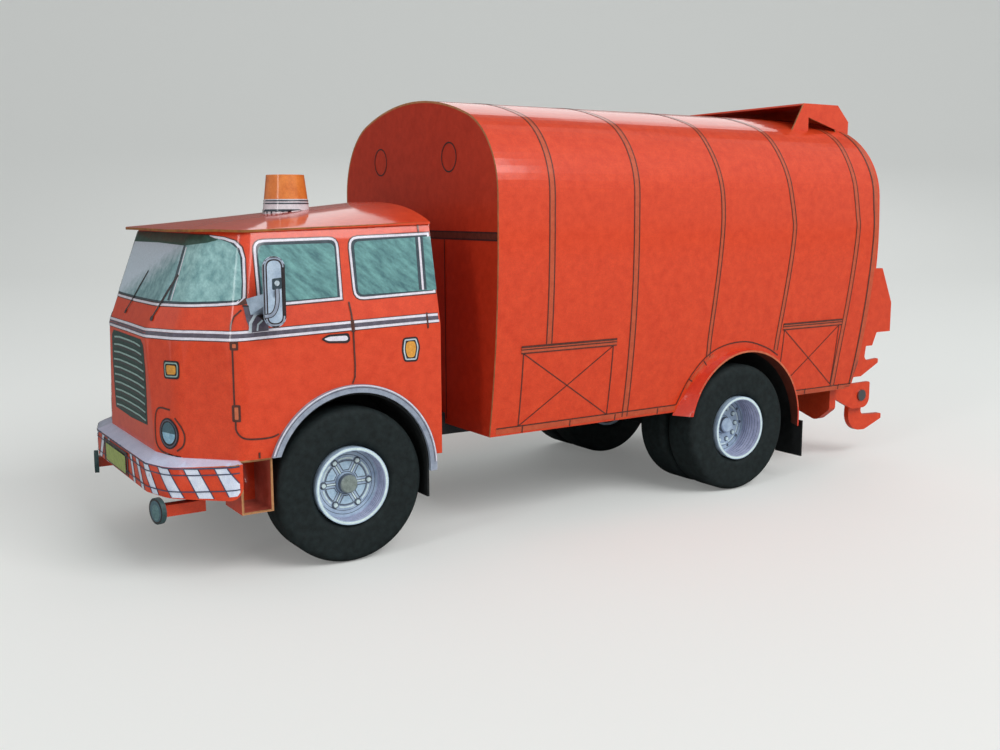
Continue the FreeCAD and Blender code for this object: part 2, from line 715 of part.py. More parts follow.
BUMPER_PLAN = (BUMPER_HALF, BUMPER_NOSE, BUMPER_KINK, BUMPER_BEND_X, BUMPER_BEND_Y,
               BUMPER_CORNER, BUMPER_RADIUS)
LEDGE_PLAN = (CAB_HALF - LEDGE_TUCK, FOOT_NOSE, FOOT_KINK, FOOT_BEND_X, FOOT_BEND_Y,
              BUMPER_END + LEDGE_TUCK, LEDGE_TUCK)


def bumper_block(inset):
    """Bumper filled: an upright face with a sloping top edge, and a ledge up to the cab."""
    def edge_level(x):
        share = (x - BUMPER_END) / (BUMPER_NOSE - BUMPER_END)
        return BUMPER_REAR_EDGE + (BUMPER_FRONT_EDGE - BUMPER_REAR_EDGE) * share - inset

    def wire(plan, level):
        return outline(plan_corners(plan, BUMPER_END, inset), lambda a, b: V(a, b, level(a)))

    foot = wire(BUMPER_PLAN, lambda x: BUMPER_BOTTOM - 2 * inset)
    edge = wire(BUMPER_PLAN, edge_level)
    top = wire(LEDGE_PLAN, lambda x: CAB_FOOT - inset)
    return fuse([Part.makeLoft([foot, edge], True, True), Part.makeLoft([edge, top], True, True)])


def front_bumper():
    inner_plan = plan_corners(FOOT_PLAN, -CAB_REAR, CARD)
    opening = flat_plate(inner_plan, BUMPER_BOTTOM - 1, CAB_FOOT + 1)
    bumper = bumper_block(0).cut(bumper_block(CARD)).cut(opening)
    side_view = [(BUMPER_END, CAB_FOOT, 0), (BUMPER_NOSE, CAB_FOOT, 0),
                 (BUMPER_NOSE, BUMPER_BOTTOM, 0), (BUMPER_END, BUMPER_BOTTOM, 3)]
    return bumper.common(upright_plate(side_view, -BUMPER_HALF, BUMPER_HALF))


def step_box():
    """Step of the left side: a card box that is open outwards."""
    outer_y = BUMPER_HALF - STEP_SET
    front_x = STEP_REAR + STEP_LENGTH
    outer = box(STEP_REAR, front_x, outer_y - STEP_DEPTH, outer_y, STEP_BOTTOM, CAB_FOOT)
    inner = box(STEP_REAR + CARD, front_x - CARD, outer_y - STEP_DEPTH + CARD, outer_y + 1,
                STEP_BOTTOM + CARD, CAB_FOOT - CARD)
    return outer.cut(inner)


def driving_lamp():
    """Disc of the left lamp, turned a little outwards."""
    lamp = bar_along(LAMP_RADIUS, LAMP_Y, LAMP_Z, LAMP_FACE - BOARD, LAMP_FACE)
    lamp.rotate(V(LAMP_FACE, LAMP_Y, LAMP_Z), V(0, 0, 1), LAMP_TURN)
    return lamp


def lamp_arm():
    """Box arm behind the left lamp, cut to the lamp's back, on a hanger under the floor."""
    root_x = LAMP_FACE - BOARD - LAMP_ARM_LENGTH
    size = LAMP_ARM_SIZE
    arm = box(root_x, LAMP_FACE - BOARD / 2, LAMP_Y - size / 2, LAMP_Y + size / 2,
              LAMP_Z - size / 2, LAMP_Z + size / 2).cut(driving_lamp())
    hanger = box(root_x, root_x + LAMP_HANGER, LAMP_Y - CARD, LAMP_Y + CARD, LAMP_Z, FRAME_TOP)
    return fuse([arm, hanger])


def mirror():
    half_x = MIRROR_WIDTH / 2
    half_z = MIRROR_HEIGHT / 2
    round_end = half_x * 0.95
    corners = [(MIRROR_X + a * half_x, MIRROR_Z + b * half_z, round_end)
               for a, b in ((1, 1), (-1, 1), (-1, -1), (1, -1))]
    plate = upright_plate(corners, MIRROR_Y, MIRROR_Y + CARD)
    root_x = MIRROR_X + MIRROR_ROOT_LENGTH
    root_z = MIRROR_Z - MIRROR_HEIGHT / 2 + MIRROR_ROOT_HEIGHT / 2
    root = [(root_x + a * MIRROR_ROOT_LENGTH / 2, root_z + b * MIRROR_ROOT_HEIGHT / 2, 0)
            for a, b in ((1, 1), (-1, 1), (-1, -1), (1, -1))]
    tip = [(MIRROR_X + a * MIRROR_TIP / 2, MIRROR_Z + (b - 1) * MIRROR_TIP / 2, 0)
           for a, b in ((1, 1), (-1, 1), (-1, -1), (1, -1))]
    arm = Part.makeLoft([outline(root, lambda a, b: V(a, EAVES_HALF, b)),
                         outline(tip, lambda a, b: V(a, MIRROR_Y, b))], True, True)
    return fuse([plate, arm.cut(OUTSIDE)])


keep("front_bumper", front_bumper())
keep("driving_lamps", both_sides(driving_lamp()))
keep("driving_lamp_arms", both_sides(lamp_arm()))
for side, place in SIDES:
    keep("step_box_" + side, place(step_box()))
    keep("mirror_" + side, place(mirror()))


# Load body: arched wrap, front and rear walls, floor

def body_wire(inset, x):
    """Closed section of the load body at x: bulged sides, round shoulders, crown."""
    crown_z = BODY_TOP - CROWN_RADIUS
    shoulder_y = BODY_HALF - SHOULDER_RADIUS
    shoulder_z = crown_z + math.sqrt((CROWN_RADIUS - SHOULDER_RADIUS) ** 2 - shoulder_y ** 2)
    half = BODY_HALF - inset
    bulge = SIDE_BULGE - inset
    join_angle = math.atan2(shoulder_z - crown_z, shoulder_y)

    def on_side(z):
        return V(x, half - bulge + math.sqrt(bulge ** 2 - (BULGE_START - z) ** 2), z)

    def on_shoulder(angle):
        radius = SHOULDER_RADIUS - inset
        return V(x, shoulder_y + radius * math.cos(angle), shoulder_z + radius * math.sin(angle))

    def flipped(point):
        return V(point.x, -point.y, point.z)

    foot = on_side(BODY_FOOT)
    side = [foot, on_side((BODY_FOOT + BULGE_START) / 2), on_side(BULGE_START)]
    shoulder = [on_shoulder(0), on_shoulder(join_angle / 2), on_shoulder(join_angle)]
    top = V(x, 0, BODY_TOP - inset)
    edges = [Part.makeLine(flipped(foot), foot), Part.Arc(*side).toShape(),
             Part.makeLine(side[2], shoulder[0]), Part.Arc(*shoulder).toShape(),
             Part.Arc(shoulder[2], top, flipped(shoulder[2])).toShape(),
             Part.Arc(*[flipped(p) for p in shoulder[::-1]]).toShape(),
             Part.makeLine(flipped(shoulder[0]), flipped(side[2])),
             Part.Arc(*[flipped(p) for p in side[::-1]]).toShape()]
    return Part.Wire(edges)


def ahead_of_tail(inset):
    """Everything ahead of the bowed rear face, moved forward by inset."""
    foot = V(-BODY_REAR_FOOT + inset, -BODY_HALF, BODY_FOOT)
    middle = V(-BODY_REAR_MID + inset, -BODY_HALF, REAR_MID_Z)
    top = V(-BODY_REAR_TOP + inset, -BODY_HALF, BODY_TOP)
    front_top = V(0, -BODY_HALF, BODY_TOP)
    front_foot = V(0, -BODY_HALF, BODY_FOOT)
    edges = [Part.Arc(foot, middle, top).toShape(), Part.makeLine(top, front_top),
             Part.makeLine(front_top, front_foot), Part.makeLine(front_foot, foot)]
    return Part.Face(Part.Wire(edges)).extrude(V(0, 2 * BODY_HALF, 0))


def body_block(inset):
    """The load body filled, with its skin moved inwards by inset."""
    length = BODY_REAR_MID + BOARD - BODY_FRONT
    bar = Part.Face(body_wire(inset, -BODY_FRONT)).extrude(V(-length, 0, 0))
    return bar.common(ahead_of_tail(0))


BODY_OUTSIDE = body_block(0)
BODY_INSIDE = body_block(CARD)
BODY_ROOM = BODY_INSIDE.common(ahead_of_tail(BOARD)).cut(
    box(-BODY_FRONT - BOARD, -BODY_FRONT, -BODY_HALF, BODY_HALF, 0, BODY_TOP))


def body_front_wall():
    wall = BODY_INSIDE.common(box(-BODY_FRONT - BOARD, -BODY_FRONT, -BODY_HALF, BODY_HALF, 0,
                                  BODY_TOP))
    return wall.cut(FRAME_NOTCH)


def flare(inset):
    """Filled flare of the left rear mudguard, narrowing from the arch to the lip."""
    arch = (-REAR_ARCH_X, REAR_ARCH_Z, REAR_ARCH_RADIUS, REAR_ARCH_PLANE)
    lip = (-LIP_X, LIP_Z, LIP_RADIUS, LIP_PLANE)
    rings = []
    for x, z, radius, y in (arch, lip):
        circle = Part.makeCircle(radius - inset, V(x, y, z), V(0, 1, 0))
        rings.append(Part.Wire([circle]))
    return Part.makeLoft(rings, True, True)


def body_shell():
    shell = BODY_OUTSIDE.cut(BODY_INSIDE)
    well = bar_across(REAR_ARCH_RADIUS, -REAR_ARCH_X, REAR_ARCH_Z, REAR_LINER_INNER,
                      REAR_ARCH_PLANE)
    return shell.cut(both_sides(well)).cut(both_sides(flare(0)))


def body_floor():
    floor = BODY_ROOM.common(box(-BODY_REAR_MID, -BODY_FRONT, -BODY_HALF, BODY_HALF,
                                 FRAME_TOP, FLOOR_TOP))
    wells = wheel_wells(REAR_ARCH_RADIUS, -REAR_ARCH_X, REAR_ARCH_Z, REAR_LINER_INNER)
    return floor.cut(wells)


def rear_mudguard():
    """Flared lip round the left rear arch."""
    lip = flare(0).cut(flare(CARD))
    lip = lip.cut(below(-REAR_ARCH_X, 0, BODY_HALF, LIP_FRONT_FOOT))
    return lip.cut(below(-BODY_REAR_MID, -REAR_ARCH_X, BODY_HALF, LIP_REAR_FOOT))


def rear_liner():
    """Black inner mudguard of the left rear wheels, closed towards the frame."""
    outer = bar_across(REAR_ARCH_RADIUS, -REAR_ARCH_X, REAR_ARCH_Z, REAR_LINER_INNER,
                       REAR_ARCH_PLANE)
    hollow = bar_across(REAR_ARCH_RADIUS - CARD, -REAR_ARCH_X, REAR_ARCH_Z,
                        REAR_LINER_INNER + CARD, REAR_ARCH_PLANE + 1)
    liner = outer.cut(hollow)
    liner = liner.cut(below(-REAR_ARCH_X, 0, BODY_HALF, FRAME_TOP))
    liner = liner.cut(below(-BODY_REAR_MID, -REAR_ARCH_X, BODY_HALF, LIP_REAR_FOOT))
    return liner.cut(below(-BODY_REAR_MID, 0, INNER_FACE - TYRE_WIDTH, FRAME_TOP))


def mud_flap():
    back_x = -REAR_ARCH_X - REAR_ARCH_RADIUS
    return box(back_x - CARD, back_x, FLAP_Y, FLAP_Y + FLAP_WIDTH, FLAP_FOOT,
               LIP_REAR_FOOT + 1)


keep("body_shell", body_shell())
keep("body_front_wall", body_front_wall())
keep("body_rear_wall", BODY_INSIDE.cut(ahead_of_tail(BOARD)))
keep("body_floor", body_floor())
for side, place in SIDES:
    keep("rear_mudguard_" + side, place(rear_mudguard()))
    keep("rear_wheel_liner_" + side, place(rear_liner()))
keep("mud_flaps", both_sides(mud_flap()))


# Hood over the rear of the roof, open to the front

def hood():
    def side_view(inset, shift):
        return [(-HOOD_FRONT_FOOT + shift, HOOD_FOOT, 0),
                (-HOOD_FRONT_TOP + shift, HOOD_TOP - inset, 0),
                (-HOOD_REAR_TOP, HOOD_TOP - inset, 0),
                (-HOOD_REAR_SHOULDER + inset, HOOD_SHOULDER - inset / 2, 0),
                (-HOOD_REAR_SHOULDER + inset, HOOD_FOOT, 0)]
    slot_front = -HOOD_REAR_SHOULDER + HOOD_SLOT_FRONT
    slot_rear = -HOOD_REAR_SHOULDER + HOOD_SLOT_REAR
    slot = upright_plate([(slot_front, HOOD_FOOT, 0), (slot_rear, HOOD_FOOT, 0),
                          (slot_rear, HOOD_FOOT + HOOD_SLOT_RISE, 0),
                          (slot_front, HOOD_SHOULDER + HOOD_SLOT_RISE / 2, 0)],
                         -HOOD_HALF - 1, HOOD_HALF + 1)
    outer = upright_plate(side_view(0, 0), -HOOD_HALF, HOOD_HALF)
    inner = upright_plate(side_view(CARD, HOOD_LINING), -HOOD_HALF + CARD, HOOD_HALF - CARD)
    return outer.cut(inner).cut(slot).cut(BODY_OUTSIDE)


keep("hood", hood())


# Bin lifter: fixed brackets and lugs, and the fork that swings on their pins

def lifter_bracket():
    front_x = -BODY_REAR_TOP + 6
    corners = [
        (front_x, LIFTER_TOP, 0), (-LIFTER_WAIST - 1.4, LIFTER_TOP, 0),
        (-LIFTER_REACH, LIFTER_KNEE, 0), (-LIFTER_REACH, LIFTER_HEEL, 0),
        (-LIFTER_WAIST, LIFTER_HEEL, 0.5), (-LIFTER_WAIST + 1.8, LIFTER_HEEL - 3.9, 0.3),
        (-LIFTER_WAIST + 4.6, LIFTER_HEEL - 3.9, 0.3), (-LIFTER_WAIST + 5.4, HOOK_Z, 1.5),
        (-HOOK_TIP, HOOK_Z + 0.4, 0.4), (-HOOK_TIP, HOOK_Z - 1.0, 0.4),
        (-LIFTER_WAIST + 6.4, HOOK_FOOT, 0), (front_x, HOOK_FOOT, 0)]
    low = LIFTER_Y - BOARD / 2
    return upright_plate(corners, low, low + BOARD).cut(BODY_OUTSIDE)


def lifter_lug():
    front_x = BEAM_REAR_X
    corners = [
        (front_x, BODY_FOOT - 0.1, 0), (-LUG_X - LUG_RADIUS, LUG_Z + LUG_RADIUS, 0.6),
        (-LUG_X - LUG_RADIUS, LUG_Z - LUG_RADIUS, LUG_ROUND),
        (-LUG_X + LUG_RADIUS, LUG_Z - LUG_RADIUS, LUG_ROUND), (front_x, FRAME_BOTTOM - BOARD, 0)]
    low = LIFTER_Y - BOARD / 2
    lug = upright_plate(corners, low, low + BOARD)
    return lug.cut(bar_across(LIFTER_PIN, -LUG_X, LUG_Z, low - 1, low + BOARD + 1))


def rear_beam():
    """Cross beam behind the frame with a scalloped lower edge; it carries the lugs."""
    outer_y = LIFTER_Y + BOARD
    low_z = FRAME_BOTTOM - BEAM_SAG
    half = [(outer_y, FRAME_TOP, 0), (outer_y, low_z + BEAM_SAG / 2, BEAM_ROUND / 2),
            (outer_y - BEAM_SLOPE, low_z, BEAM_ROUND),
            (RAIL_OUTER + BEAM_SLOPE / 2, low_z + BEAM_SAG / 3, BEAM_ROUND),
            (RAIL_OUTER, FRAME_BOTTOM, BEAM_ROUND / 2)]
    corners = half + [(-y, z, radius) for y, z, radius in half[::-1]]
    return cross_plate(corners, BEAM_REAR_X, -FRAME_REAR)


ARM_OUTER = LIFTER_Y - BOARD / 2 - TURN_GAP * 3
ARM_INNER = ARM_OUTER - ARM_WIDTH
PIN_INNER = ARM_INNER - ARM_WIDTH


def lifter_pin():
    head_y = LIFTER_Y + BOARD / 2
    pin = bar_across(LIFTER_PIN, -LUG_X, LUG_Z, PIN_INNER + TURN_GAP, head_y)
    head = bar_across(LIFTER_PIN * 1.7, -LUG_X, LUG_Z, head_y, head_y + CARD)
    return fuse([pin, head])


def lifter_fork():
    heel_z = LUG_Z - ARM_HEEL
    corners = [
        (-LUG_X - 2.6, LUG_Z + 2.6, 2.5), (-LUG_X + 2.6, LUG_Z + 2.6, 2.5),
        (-LUG_X + 3.4, heel_z, 5.5), (-LUG_X - 4.6, heel_z - 0.4, 2),
        (-LUG_X - ARM_LENGTH, heel_z + 2.3, 0.4), (-LUG_X - ARM_LENGTH, heel_z + 2.3 + ARM_TOE, 0.4),
        (-LUG_X - 2.6, heel_z + 4.4, 1.5)]
    arm = upright_plate(corners, ARM_INNER, ARM_OUTER)
    tube = bar_across(BAR_RADIUS + LIFTER_PIN, -LUG_X, LUG_Z, -ARM_OUTER, ARM_OUTER)
    fork = fuse([tube, arm, other_side(arm)])
    hole = bar_across(LIFTER_PIN + PIN_FIT, -LUG_X, LUG_Z, PIN_INNER, ARM_OUTER + 1)
    return fork.cut(hole).cut(other_side(hole))


keep("lifter_brackets", both_sides(lifter_bracket()))
keep("lifter_lugs", both_sides(lifter_lug()))
keep("rear_beam", rear_beam())
keep("lifter_pins", both_sides(lifter_pin()))
keep("lifter_fork", lifter_fork())

for name, shape in NODES.items():
    shape.exportStep("parts/" + name + ".step")
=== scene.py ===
import bmesh
import bpy
import json
import math
from mathutils import Matrix, Vector
from mathutils.bvhtree import BVHTree


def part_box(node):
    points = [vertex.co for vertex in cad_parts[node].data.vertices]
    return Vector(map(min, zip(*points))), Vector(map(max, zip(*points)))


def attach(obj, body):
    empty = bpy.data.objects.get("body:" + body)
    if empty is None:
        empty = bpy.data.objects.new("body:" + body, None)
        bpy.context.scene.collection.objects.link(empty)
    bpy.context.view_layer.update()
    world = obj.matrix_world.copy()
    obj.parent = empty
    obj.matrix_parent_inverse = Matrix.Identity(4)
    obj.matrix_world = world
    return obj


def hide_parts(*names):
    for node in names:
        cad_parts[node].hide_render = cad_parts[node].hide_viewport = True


# Looks of a printed card model of a garbage truck.
# Lengths here are in millimetres, x is measured from the front axle, +X is forward,
# +Y is the truck's left and z = 0 is the table. Meshes are turned into the frame's metres.

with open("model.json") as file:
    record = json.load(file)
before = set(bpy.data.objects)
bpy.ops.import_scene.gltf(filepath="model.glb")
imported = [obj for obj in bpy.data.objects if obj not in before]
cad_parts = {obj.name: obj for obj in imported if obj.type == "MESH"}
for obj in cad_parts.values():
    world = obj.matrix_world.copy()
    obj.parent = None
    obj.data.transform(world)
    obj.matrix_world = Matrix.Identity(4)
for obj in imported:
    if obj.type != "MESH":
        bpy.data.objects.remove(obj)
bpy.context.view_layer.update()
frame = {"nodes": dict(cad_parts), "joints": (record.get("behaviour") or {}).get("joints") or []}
NODES = frame["nodes"]
SCENE = bpy.context.scene
MM = 0.001
SPINS = {joint["child"]: joint["pos_m"] for joint in frame["joints"]}
FRONT_AXLE = SPINS["wheel_front_left"][0] / MM
REAR_AXLE_X = SPINS["wheel_rear_left"][0] / MM - FRONT_AXLE
AXLE_Z = SPINS["wheel_front_left"][2] / MM
# The card's thickness, and places that the drawings refer to: the middle of the front arch, the
# axis of the body's round roof, the beacon, the left driving lamp and its turn outwards
CARD = 0.5
FRONT_ARCH = (-0.6, 19.3)
BODY_AXIS_Z = 60
BEACON_X = -2
LAMP_SEAT, LAMP_TURN = Vector((39, 26.6, 15)), math.radians(13)


# Inks, card and lacquer

def linear(code):
    """sRGB hex such as "D9472C" as a linear colour."""
    parts = [int(code[i:i + 2], 16) / 255 for i in (0, 2, 4)]
    return [c / 12.92 if c <= 0.04045 else ((c + 0.055) / 1.055) ** 2.4 for c in parts] + [1.0]


def add(tree, kind, links=(), **settings):
    """Add a node; settings are its properties or sockets, links are (socket, source). A source
    is a socket, or a node whose first output is meant."""
    made = tree.nodes.new(kind)
    for name, value in settings.items():
        if hasattr(made, name):
            setattr(made, name, value)
        else:
            made.inputs[name.replace("_", " ")].default_value = value
    for name, source in links:
        tree.links.new(getattr(source, "outputs", [source])[0], made.inputs[name])
    return made


def reckon(tree, operation, *terms):
    """Add a math node; its terms are numbers or sources."""
    sources = [(i, term) for i, term in enumerate(terms) if not isinstance(term, (int, float))]
    made = add(tree, "ShaderNodeMath", sources, operation=operation)
    for i, term in enumerate(terms):
        if isinstance(term, (int, float)):
            made.inputs[i].default_value = term
    return made


def finish_of(name, shader):
    """Material with a Principled shader whose plain sockets are set from a dict."""
    material = bpy.data.materials.new(name)
    material.use_nodes = True
    tree = material.node_tree
    principled = tree.nodes["Principled BSDF"]
    for socket, value in shader.items():
        principled.inputs[socket].default_value = value
    coords = tree.nodes.new("ShaderNodeTexCoord")
    return material, tree, principled, coords.outputs["Object"]


# Where the painted reflection of the sky fades in on the windscreen's print, and how it slants and
# wavers
PAINTED_REFLECTION_FOOT, PAINTED_REFLECTION_TOP, PAINTED_REFLECTION_SLOPE, PAINTED_REFLECTION_WAVER = 60.5, 66.0, -0.35, 5


def printed(name, dark, light, roughness=0.5, coat=0.8, patch=2.2, grit=0.25, bump=0.25,
        brush=None, painted_reflection=None):
    """Ink on smooth card: soft mottling a few millimetres wide, the fine dot of the printer
    and a faint unevenness of the card. Sizes are in millimetres. brush is the slope in degrees
    of short brush strokes. The third colour, when given, is a painted reflection of the sky that
    fades in towards the top of a slanting line."""
    shader = {"Roughness": roughness, "IOR": 1.5, "Specular IOR Level": 0.25, "Coat Weight": coat,
        "Coat Roughness": 0.1, "Coat IOR": 1.5}
    material, tree, principled, where = finish_of(name, shader)
    drawn = where
    if brush is not None:
        turned = add(tree, "ShaderNodeMapping", [("Vector", where)],
            Rotation=(0, math.radians(brush), 0))
        drawn = add(tree, "ShaderNodeMapping", [("Vector", turned)], Scale=(0.3, 1, 1))
    cloud = add(tree, "ShaderNodeTexNoise", [("Vector", drawn)], Scale=1000 / patch, Detail=3.0,
        Roughness=0.6)
    spread = add(tree, "ShaderNodeMapRange", [(0, cloud)], From_Min=0.3, From_Max=0.7)
    dots = add(tree, "ShaderNodeTexNoise", [("Vector", where)], Scale=1000 / grit, Detail=1.0)
    blend = add(tree, "ShaderNodeMix", [(0, spread)], data_type="RGBA")
    blend.inputs[6].default_value = linear(dark)
    blend.inputs[7].default_value = linear(light)
    colour = blend.outputs[2]
    if painted_reflection is not None:
        axes = add(tree, "ShaderNodeSeparateXYZ", [(0, where)])
        slant = reckon(tree, "MULTIPLY_ADD", axes.outputs["Y"], PAINTED_REFLECTION_SLOPE, axes.outputs["Z"])
        level = reckon(tree, "MULTIPLY_ADD", cloud, PAINTED_REFLECTION_WAVER * MM, slant)
        share = add(tree, "ShaderNodeMapRange", [(0, level)], From_Min=PAINTED_REFLECTION_FOOT * MM,
            From_Max=PAINTED_REFLECTION_TOP * MM, To_Max=0.9)
        lit = add(tree, "ShaderNodeMix", [(0, share), (6, colour)], data_type="RGBA")
        lit.inputs[7].default_value = linear(painted_reflection)
        colour = lit.outputs[2]
    fleck = add(tree, "ShaderNodeMapRange", [(0, dots)], From_Min=0.35, From_Max=0.65,
        To_Min=0.93, To_Max=1.05)
    shaded = add(tree, "ShaderNodeVectorMath", [(0, colour), (1, fleck)],
        operation="MULTIPLY")
    tree.links.new(shaded.outputs[0], principled.inputs["Base Color"])
    wave = add(tree, "ShaderNodeTexNoise", [("Vector", where)], Scale=1000 / 3.0, Detail=2.0)
    relief = add(tree, "ShaderNodeBump", [("Height", wave)], Strength=bump,
        Distance=0.05 * MM)
    tree.links.new(relief.outputs[0], principled.inputs["Normal"])
    tree.links.new(relief.outputs[0], principled.inputs["Coat Normal"])
    return material


# Orange ink under clear lacquer on thin card: even colour, soft blotches, a wet gloss
orange_card = printed("orange_lacquered_card", "CE3812", "DC461E")
# The same ink made darker for the wall behind the cab: painted shade of that wall
shaded_bulkhead_card = printed("red_brown_card_with_painted_shade", "B02C10", "C0361A", coat=0.12)
# Red-orange ink of the rear mudguards, deeper than the body's
mudguard_card = printed("red_orange_lacquered_card", "C8301A", "D63C22")
# Bare cut edge of the card: pulp seen from the side, tan, dull and fibrous
cut_edge = printed("bare_cut_card_edge", "A06E48", "BC8A60", roughness=0.9, coat=0.0, patch=1.2,
    grit=0.12, bump=0.5)
# Cut edge of the roof sheet, brushed over with brown colour
roof_edge = printed("brown_touched_card_edge", "7A4A28", "A0682F", roughness=0.7, coat=0.2,
    patch=1.2)
# Cut edge of the rear mudguards, touched up with orange
lip_edge = printed("orange_touched_card_edge", "B4553A", "CC7450", roughness=0.7, coat=0.2,
    patch=1.2)
# Unprinted back of the card inside the shells: grey pulp board
card_back = printed("grey_board_back", "6A6258", "7C7468", roughness=0.85, coat=0.0)
# Red ink without lacquer inside the boxes
red_card = printed("dark_red_printed_card", "9A4436", "AC5244", roughness=0.5, coat=0.4)
# The same ink in the deep shade under the rear mudguards
shaded_card = printed("brown_red_painted_shade_card", "5A2418", "6E2E20", roughness=0.6, coat=0.1)
# Thin printed lines, dark brown, black and blue-black
line_ink = printed("dark_brown_line_ink", "4A261C", "60322A", patch=1.0)
black_ink = printed("black_line_ink", "20181A", "30262A", patch=1.0)
recess_ink = printed("blue_black_recess_print", "24343E", "3A4A54", patch=0.9)
stripe_line_ink = printed("dark_blue_line_ink", "343A54", "464C66", patch=1.0)
# Rib strips, a shade browner than the card round them
rib_ink = printed("brown_orange_rib_print", "B84626", "C65634", patch=1.5)
# Window print: grey-green wash brushed in short slanting strokes
side_glass = printed("grey_green_window_print", "3A686E", "6CA2A0", patch=1.3, grit=0.4, brush=40)
corner_glass = printed("deep_green_window_print", "629094", "9CC6C6", patch=1.6, grit=0.4, brush=50)
# Windscreen print, with a pale painted reflection of the sky fading in towards its top
front_glass = printed("painted_reflection_window_print", "5E8A90", "90B6BA", patch=1.6, grit=0.4, brush=50,
    painted_reflection="D0DCEA")
# Dark green band along the top of the windscreen: painted shadow of the roof's visor
visor_shadow_ink = printed("dark_green_painted_visor_shadow", "24443A", "34584C", coat=0.4, patch=1.2)
frame_ink = printed("pale_blue_frame_print", "A9B9C4", "C6D2DA", patch=1.5)
white_ink = printed("lilac_white_line_print", "CFCBD8", "E6E2EC", patch=1.5)
slate_ink = printed("slate_belt_print", "4A4450", "625C6C", patch=1.2)
amber_ink = printed("amber_lamp_print", "C8862C", "E0A040", patch=1.0)
lamp_shade_ink = printed("teal_glass_print", "3C5A66", "4C6C78", patch=1.0)
lamp_light_ink = printed("light_blue_glass_print", "74A2BE", "9CC2D6", patch=1.0)
grille_ink = printed("dark_green_grille_print", "1C3430", "2C4A44", coat=0.3, patch=1.0)
slat_ink = printed("pale_slat_print", "7E9C98", "A0BAB4", coat=0.3, patch=0.9)
plate_ink = printed("yellow_green_plate_print", "8FA044", "A8B858", patch=1.2)
# Matt black card of the wheel housings and flaps
black_card = printed("matt_black_card", "141617", "202324", roughness=0.7, coat=0.0)
# Grey printed mudguard trim
grey_card = printed("grey_printed_trim_card", "808A9C", "9EA8B8")
# Laminated black tyre board, rubbed along the layers
tyre_card = printed("black_laminated_tyre_card", "12191A", "1E2829", roughness=0.75, coat=0.0,
    patch=1.5, bump=0.6)
rim_card = printed("silver_blue_printed_rim", "93A8C2", "B6CADC", coat=0.5)
rim_wall = printed("lilac_grey_rim_wall", "9CA2C0", "BCC0DA", coat=0.5, patch=1.4)
rim_panel = printed("light_blue_rim_panel", "9CBAD0", "BCD4E4", coat=0.5, patch=1.4)
rim_line = printed("dark_grey_rim_line", "4A5462", "606A78", coat=0.3, patch=1.0)
rim_light = printed("pale_rim_band", "C4DADC", "DCECEC", coat=0.5, patch=1.0)
bumper_card = printed("pale_blue_bumper_card", "CBD5EA", "E4EAF6")
# Ledge over the bumper, the same blue with fewer blotches
ledge_card = printed("pale_blue_ledge_card", "C2C8E2", "D0D4EC", patch=3.0)
lamp_card = printed("teal_grey_lamp_print", "44666A", "5E8286", patch=1.0)
lamp_wall = printed("dark_teal_lamp_board", "2E4648", "3C5658", coat=0.4, patch=1.0)
# Grey-green printed cap of the front hubs
hub_cap = printed("grey_green_hub_cap", "6E7A76", "87938E", coat=0.5, patch=1.0)
mirror_card = printed("pale_blue_mirror_card", "93A6BC", "B4C6D8")
beacon_card = printed("amber_orange_beacon_card", "D07430", "E48C40")
band_card = printed("white_beacon_band_card", "CCD0D8", "E4E8EE")
# Dark grey painted board of the frame and axles
frame_card = printed("dark_grey_painted_board", "1C1D20", "2A2C30", roughness=0.6, coat=0.2)
# Steel wire pins, drawn and left bare
wire_metal, wire_tree, wire_shader, wire_coords = finish_of("drawn_steel_wire",
    {"Metallic": 1.0, "Roughness": 0.35, "Base Color": linear("8C8E92")})
wire_grain = add(wire_tree, "ShaderNodeTexNoise", [("Vector", wire_coords)], Scale=1000 / 0.3)
wire_relief = add(wire_tree, "ShaderNodeBump", [("Height", wire_grain)], Strength=0.2,
    Distance=0.02 * MM)
wire_tree.links.new(wire_relief.outputs[0], wire_shader.inputs["Normal"])


# Pieces: merged smooth copies of the card shells

def put(name, data):
    """New object of the scene."""
    obj = bpy.data.objects.new(name, data)
    SCENE.collection.objects.link(obj)
    return obj


def settled(name, work):
    """Mesh of what has been worked out; the work itself is freed."""
    mesh = bpy.data.meshes.new(name)
    work.to_mesh(mesh)
    work.free()
    return mesh


def as_piece(name, mesh, materials, body, replaces=()):
    """Visible piece that rides on a body, and stands for the CAD nodes that it replaces."""
    obj = put(name, mesh)
    for material in materials:
        mesh.materials.append(material)
    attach(obj, body)
    if replaces:
        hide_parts(*replaces)
    return obj


def plain_mesh(source):
    """Mesh of an object with its modifiers applied; the object itself is removed."""
    bpy.context.view_layer.update()
    evaluated = source.evaluated_get(bpy.context.evaluated_depsgraph_get())
    mesh = bpy.data.meshes.new_from_object(evaluated)
    bpy.data.objects.remove(source)
    return mesh


# How near two corners are one, how short an edge is dropped, and how far off a face a line of
# sight starts
SAME, SLIVER, HAIR = 0.002, 0.0005, 0.02


def merged_copy(node, sharp=32.0):
    """Copy of a CAD node with its loose triangles joined and its bends smooth."""
    work = bmesh.new()
    work.from_mesh(NODES[node].data)
    bmesh.ops.remove_doubles(work, verts=work.verts, dist=SAME * MM)
    bmesh.ops.dissolve_degenerate(work, edges=work.edges, dist=SLIVER * MM)
    bmesh.ops.triangulate(work, faces=work.faces)
    for face in work.faces:
        face.smooth = True
    mesh = settled(node + "_merged", work)
    mesh.set_sharp_from_angle(angle=math.radians(sharp))
    holder = put(node + "_holder", mesh)
    even = holder.modifiers.new("even", "WEIGHTED_NORMAL")
    even.keep_sharp = True
    even.weight = 80
    return plain_mesh(holder)


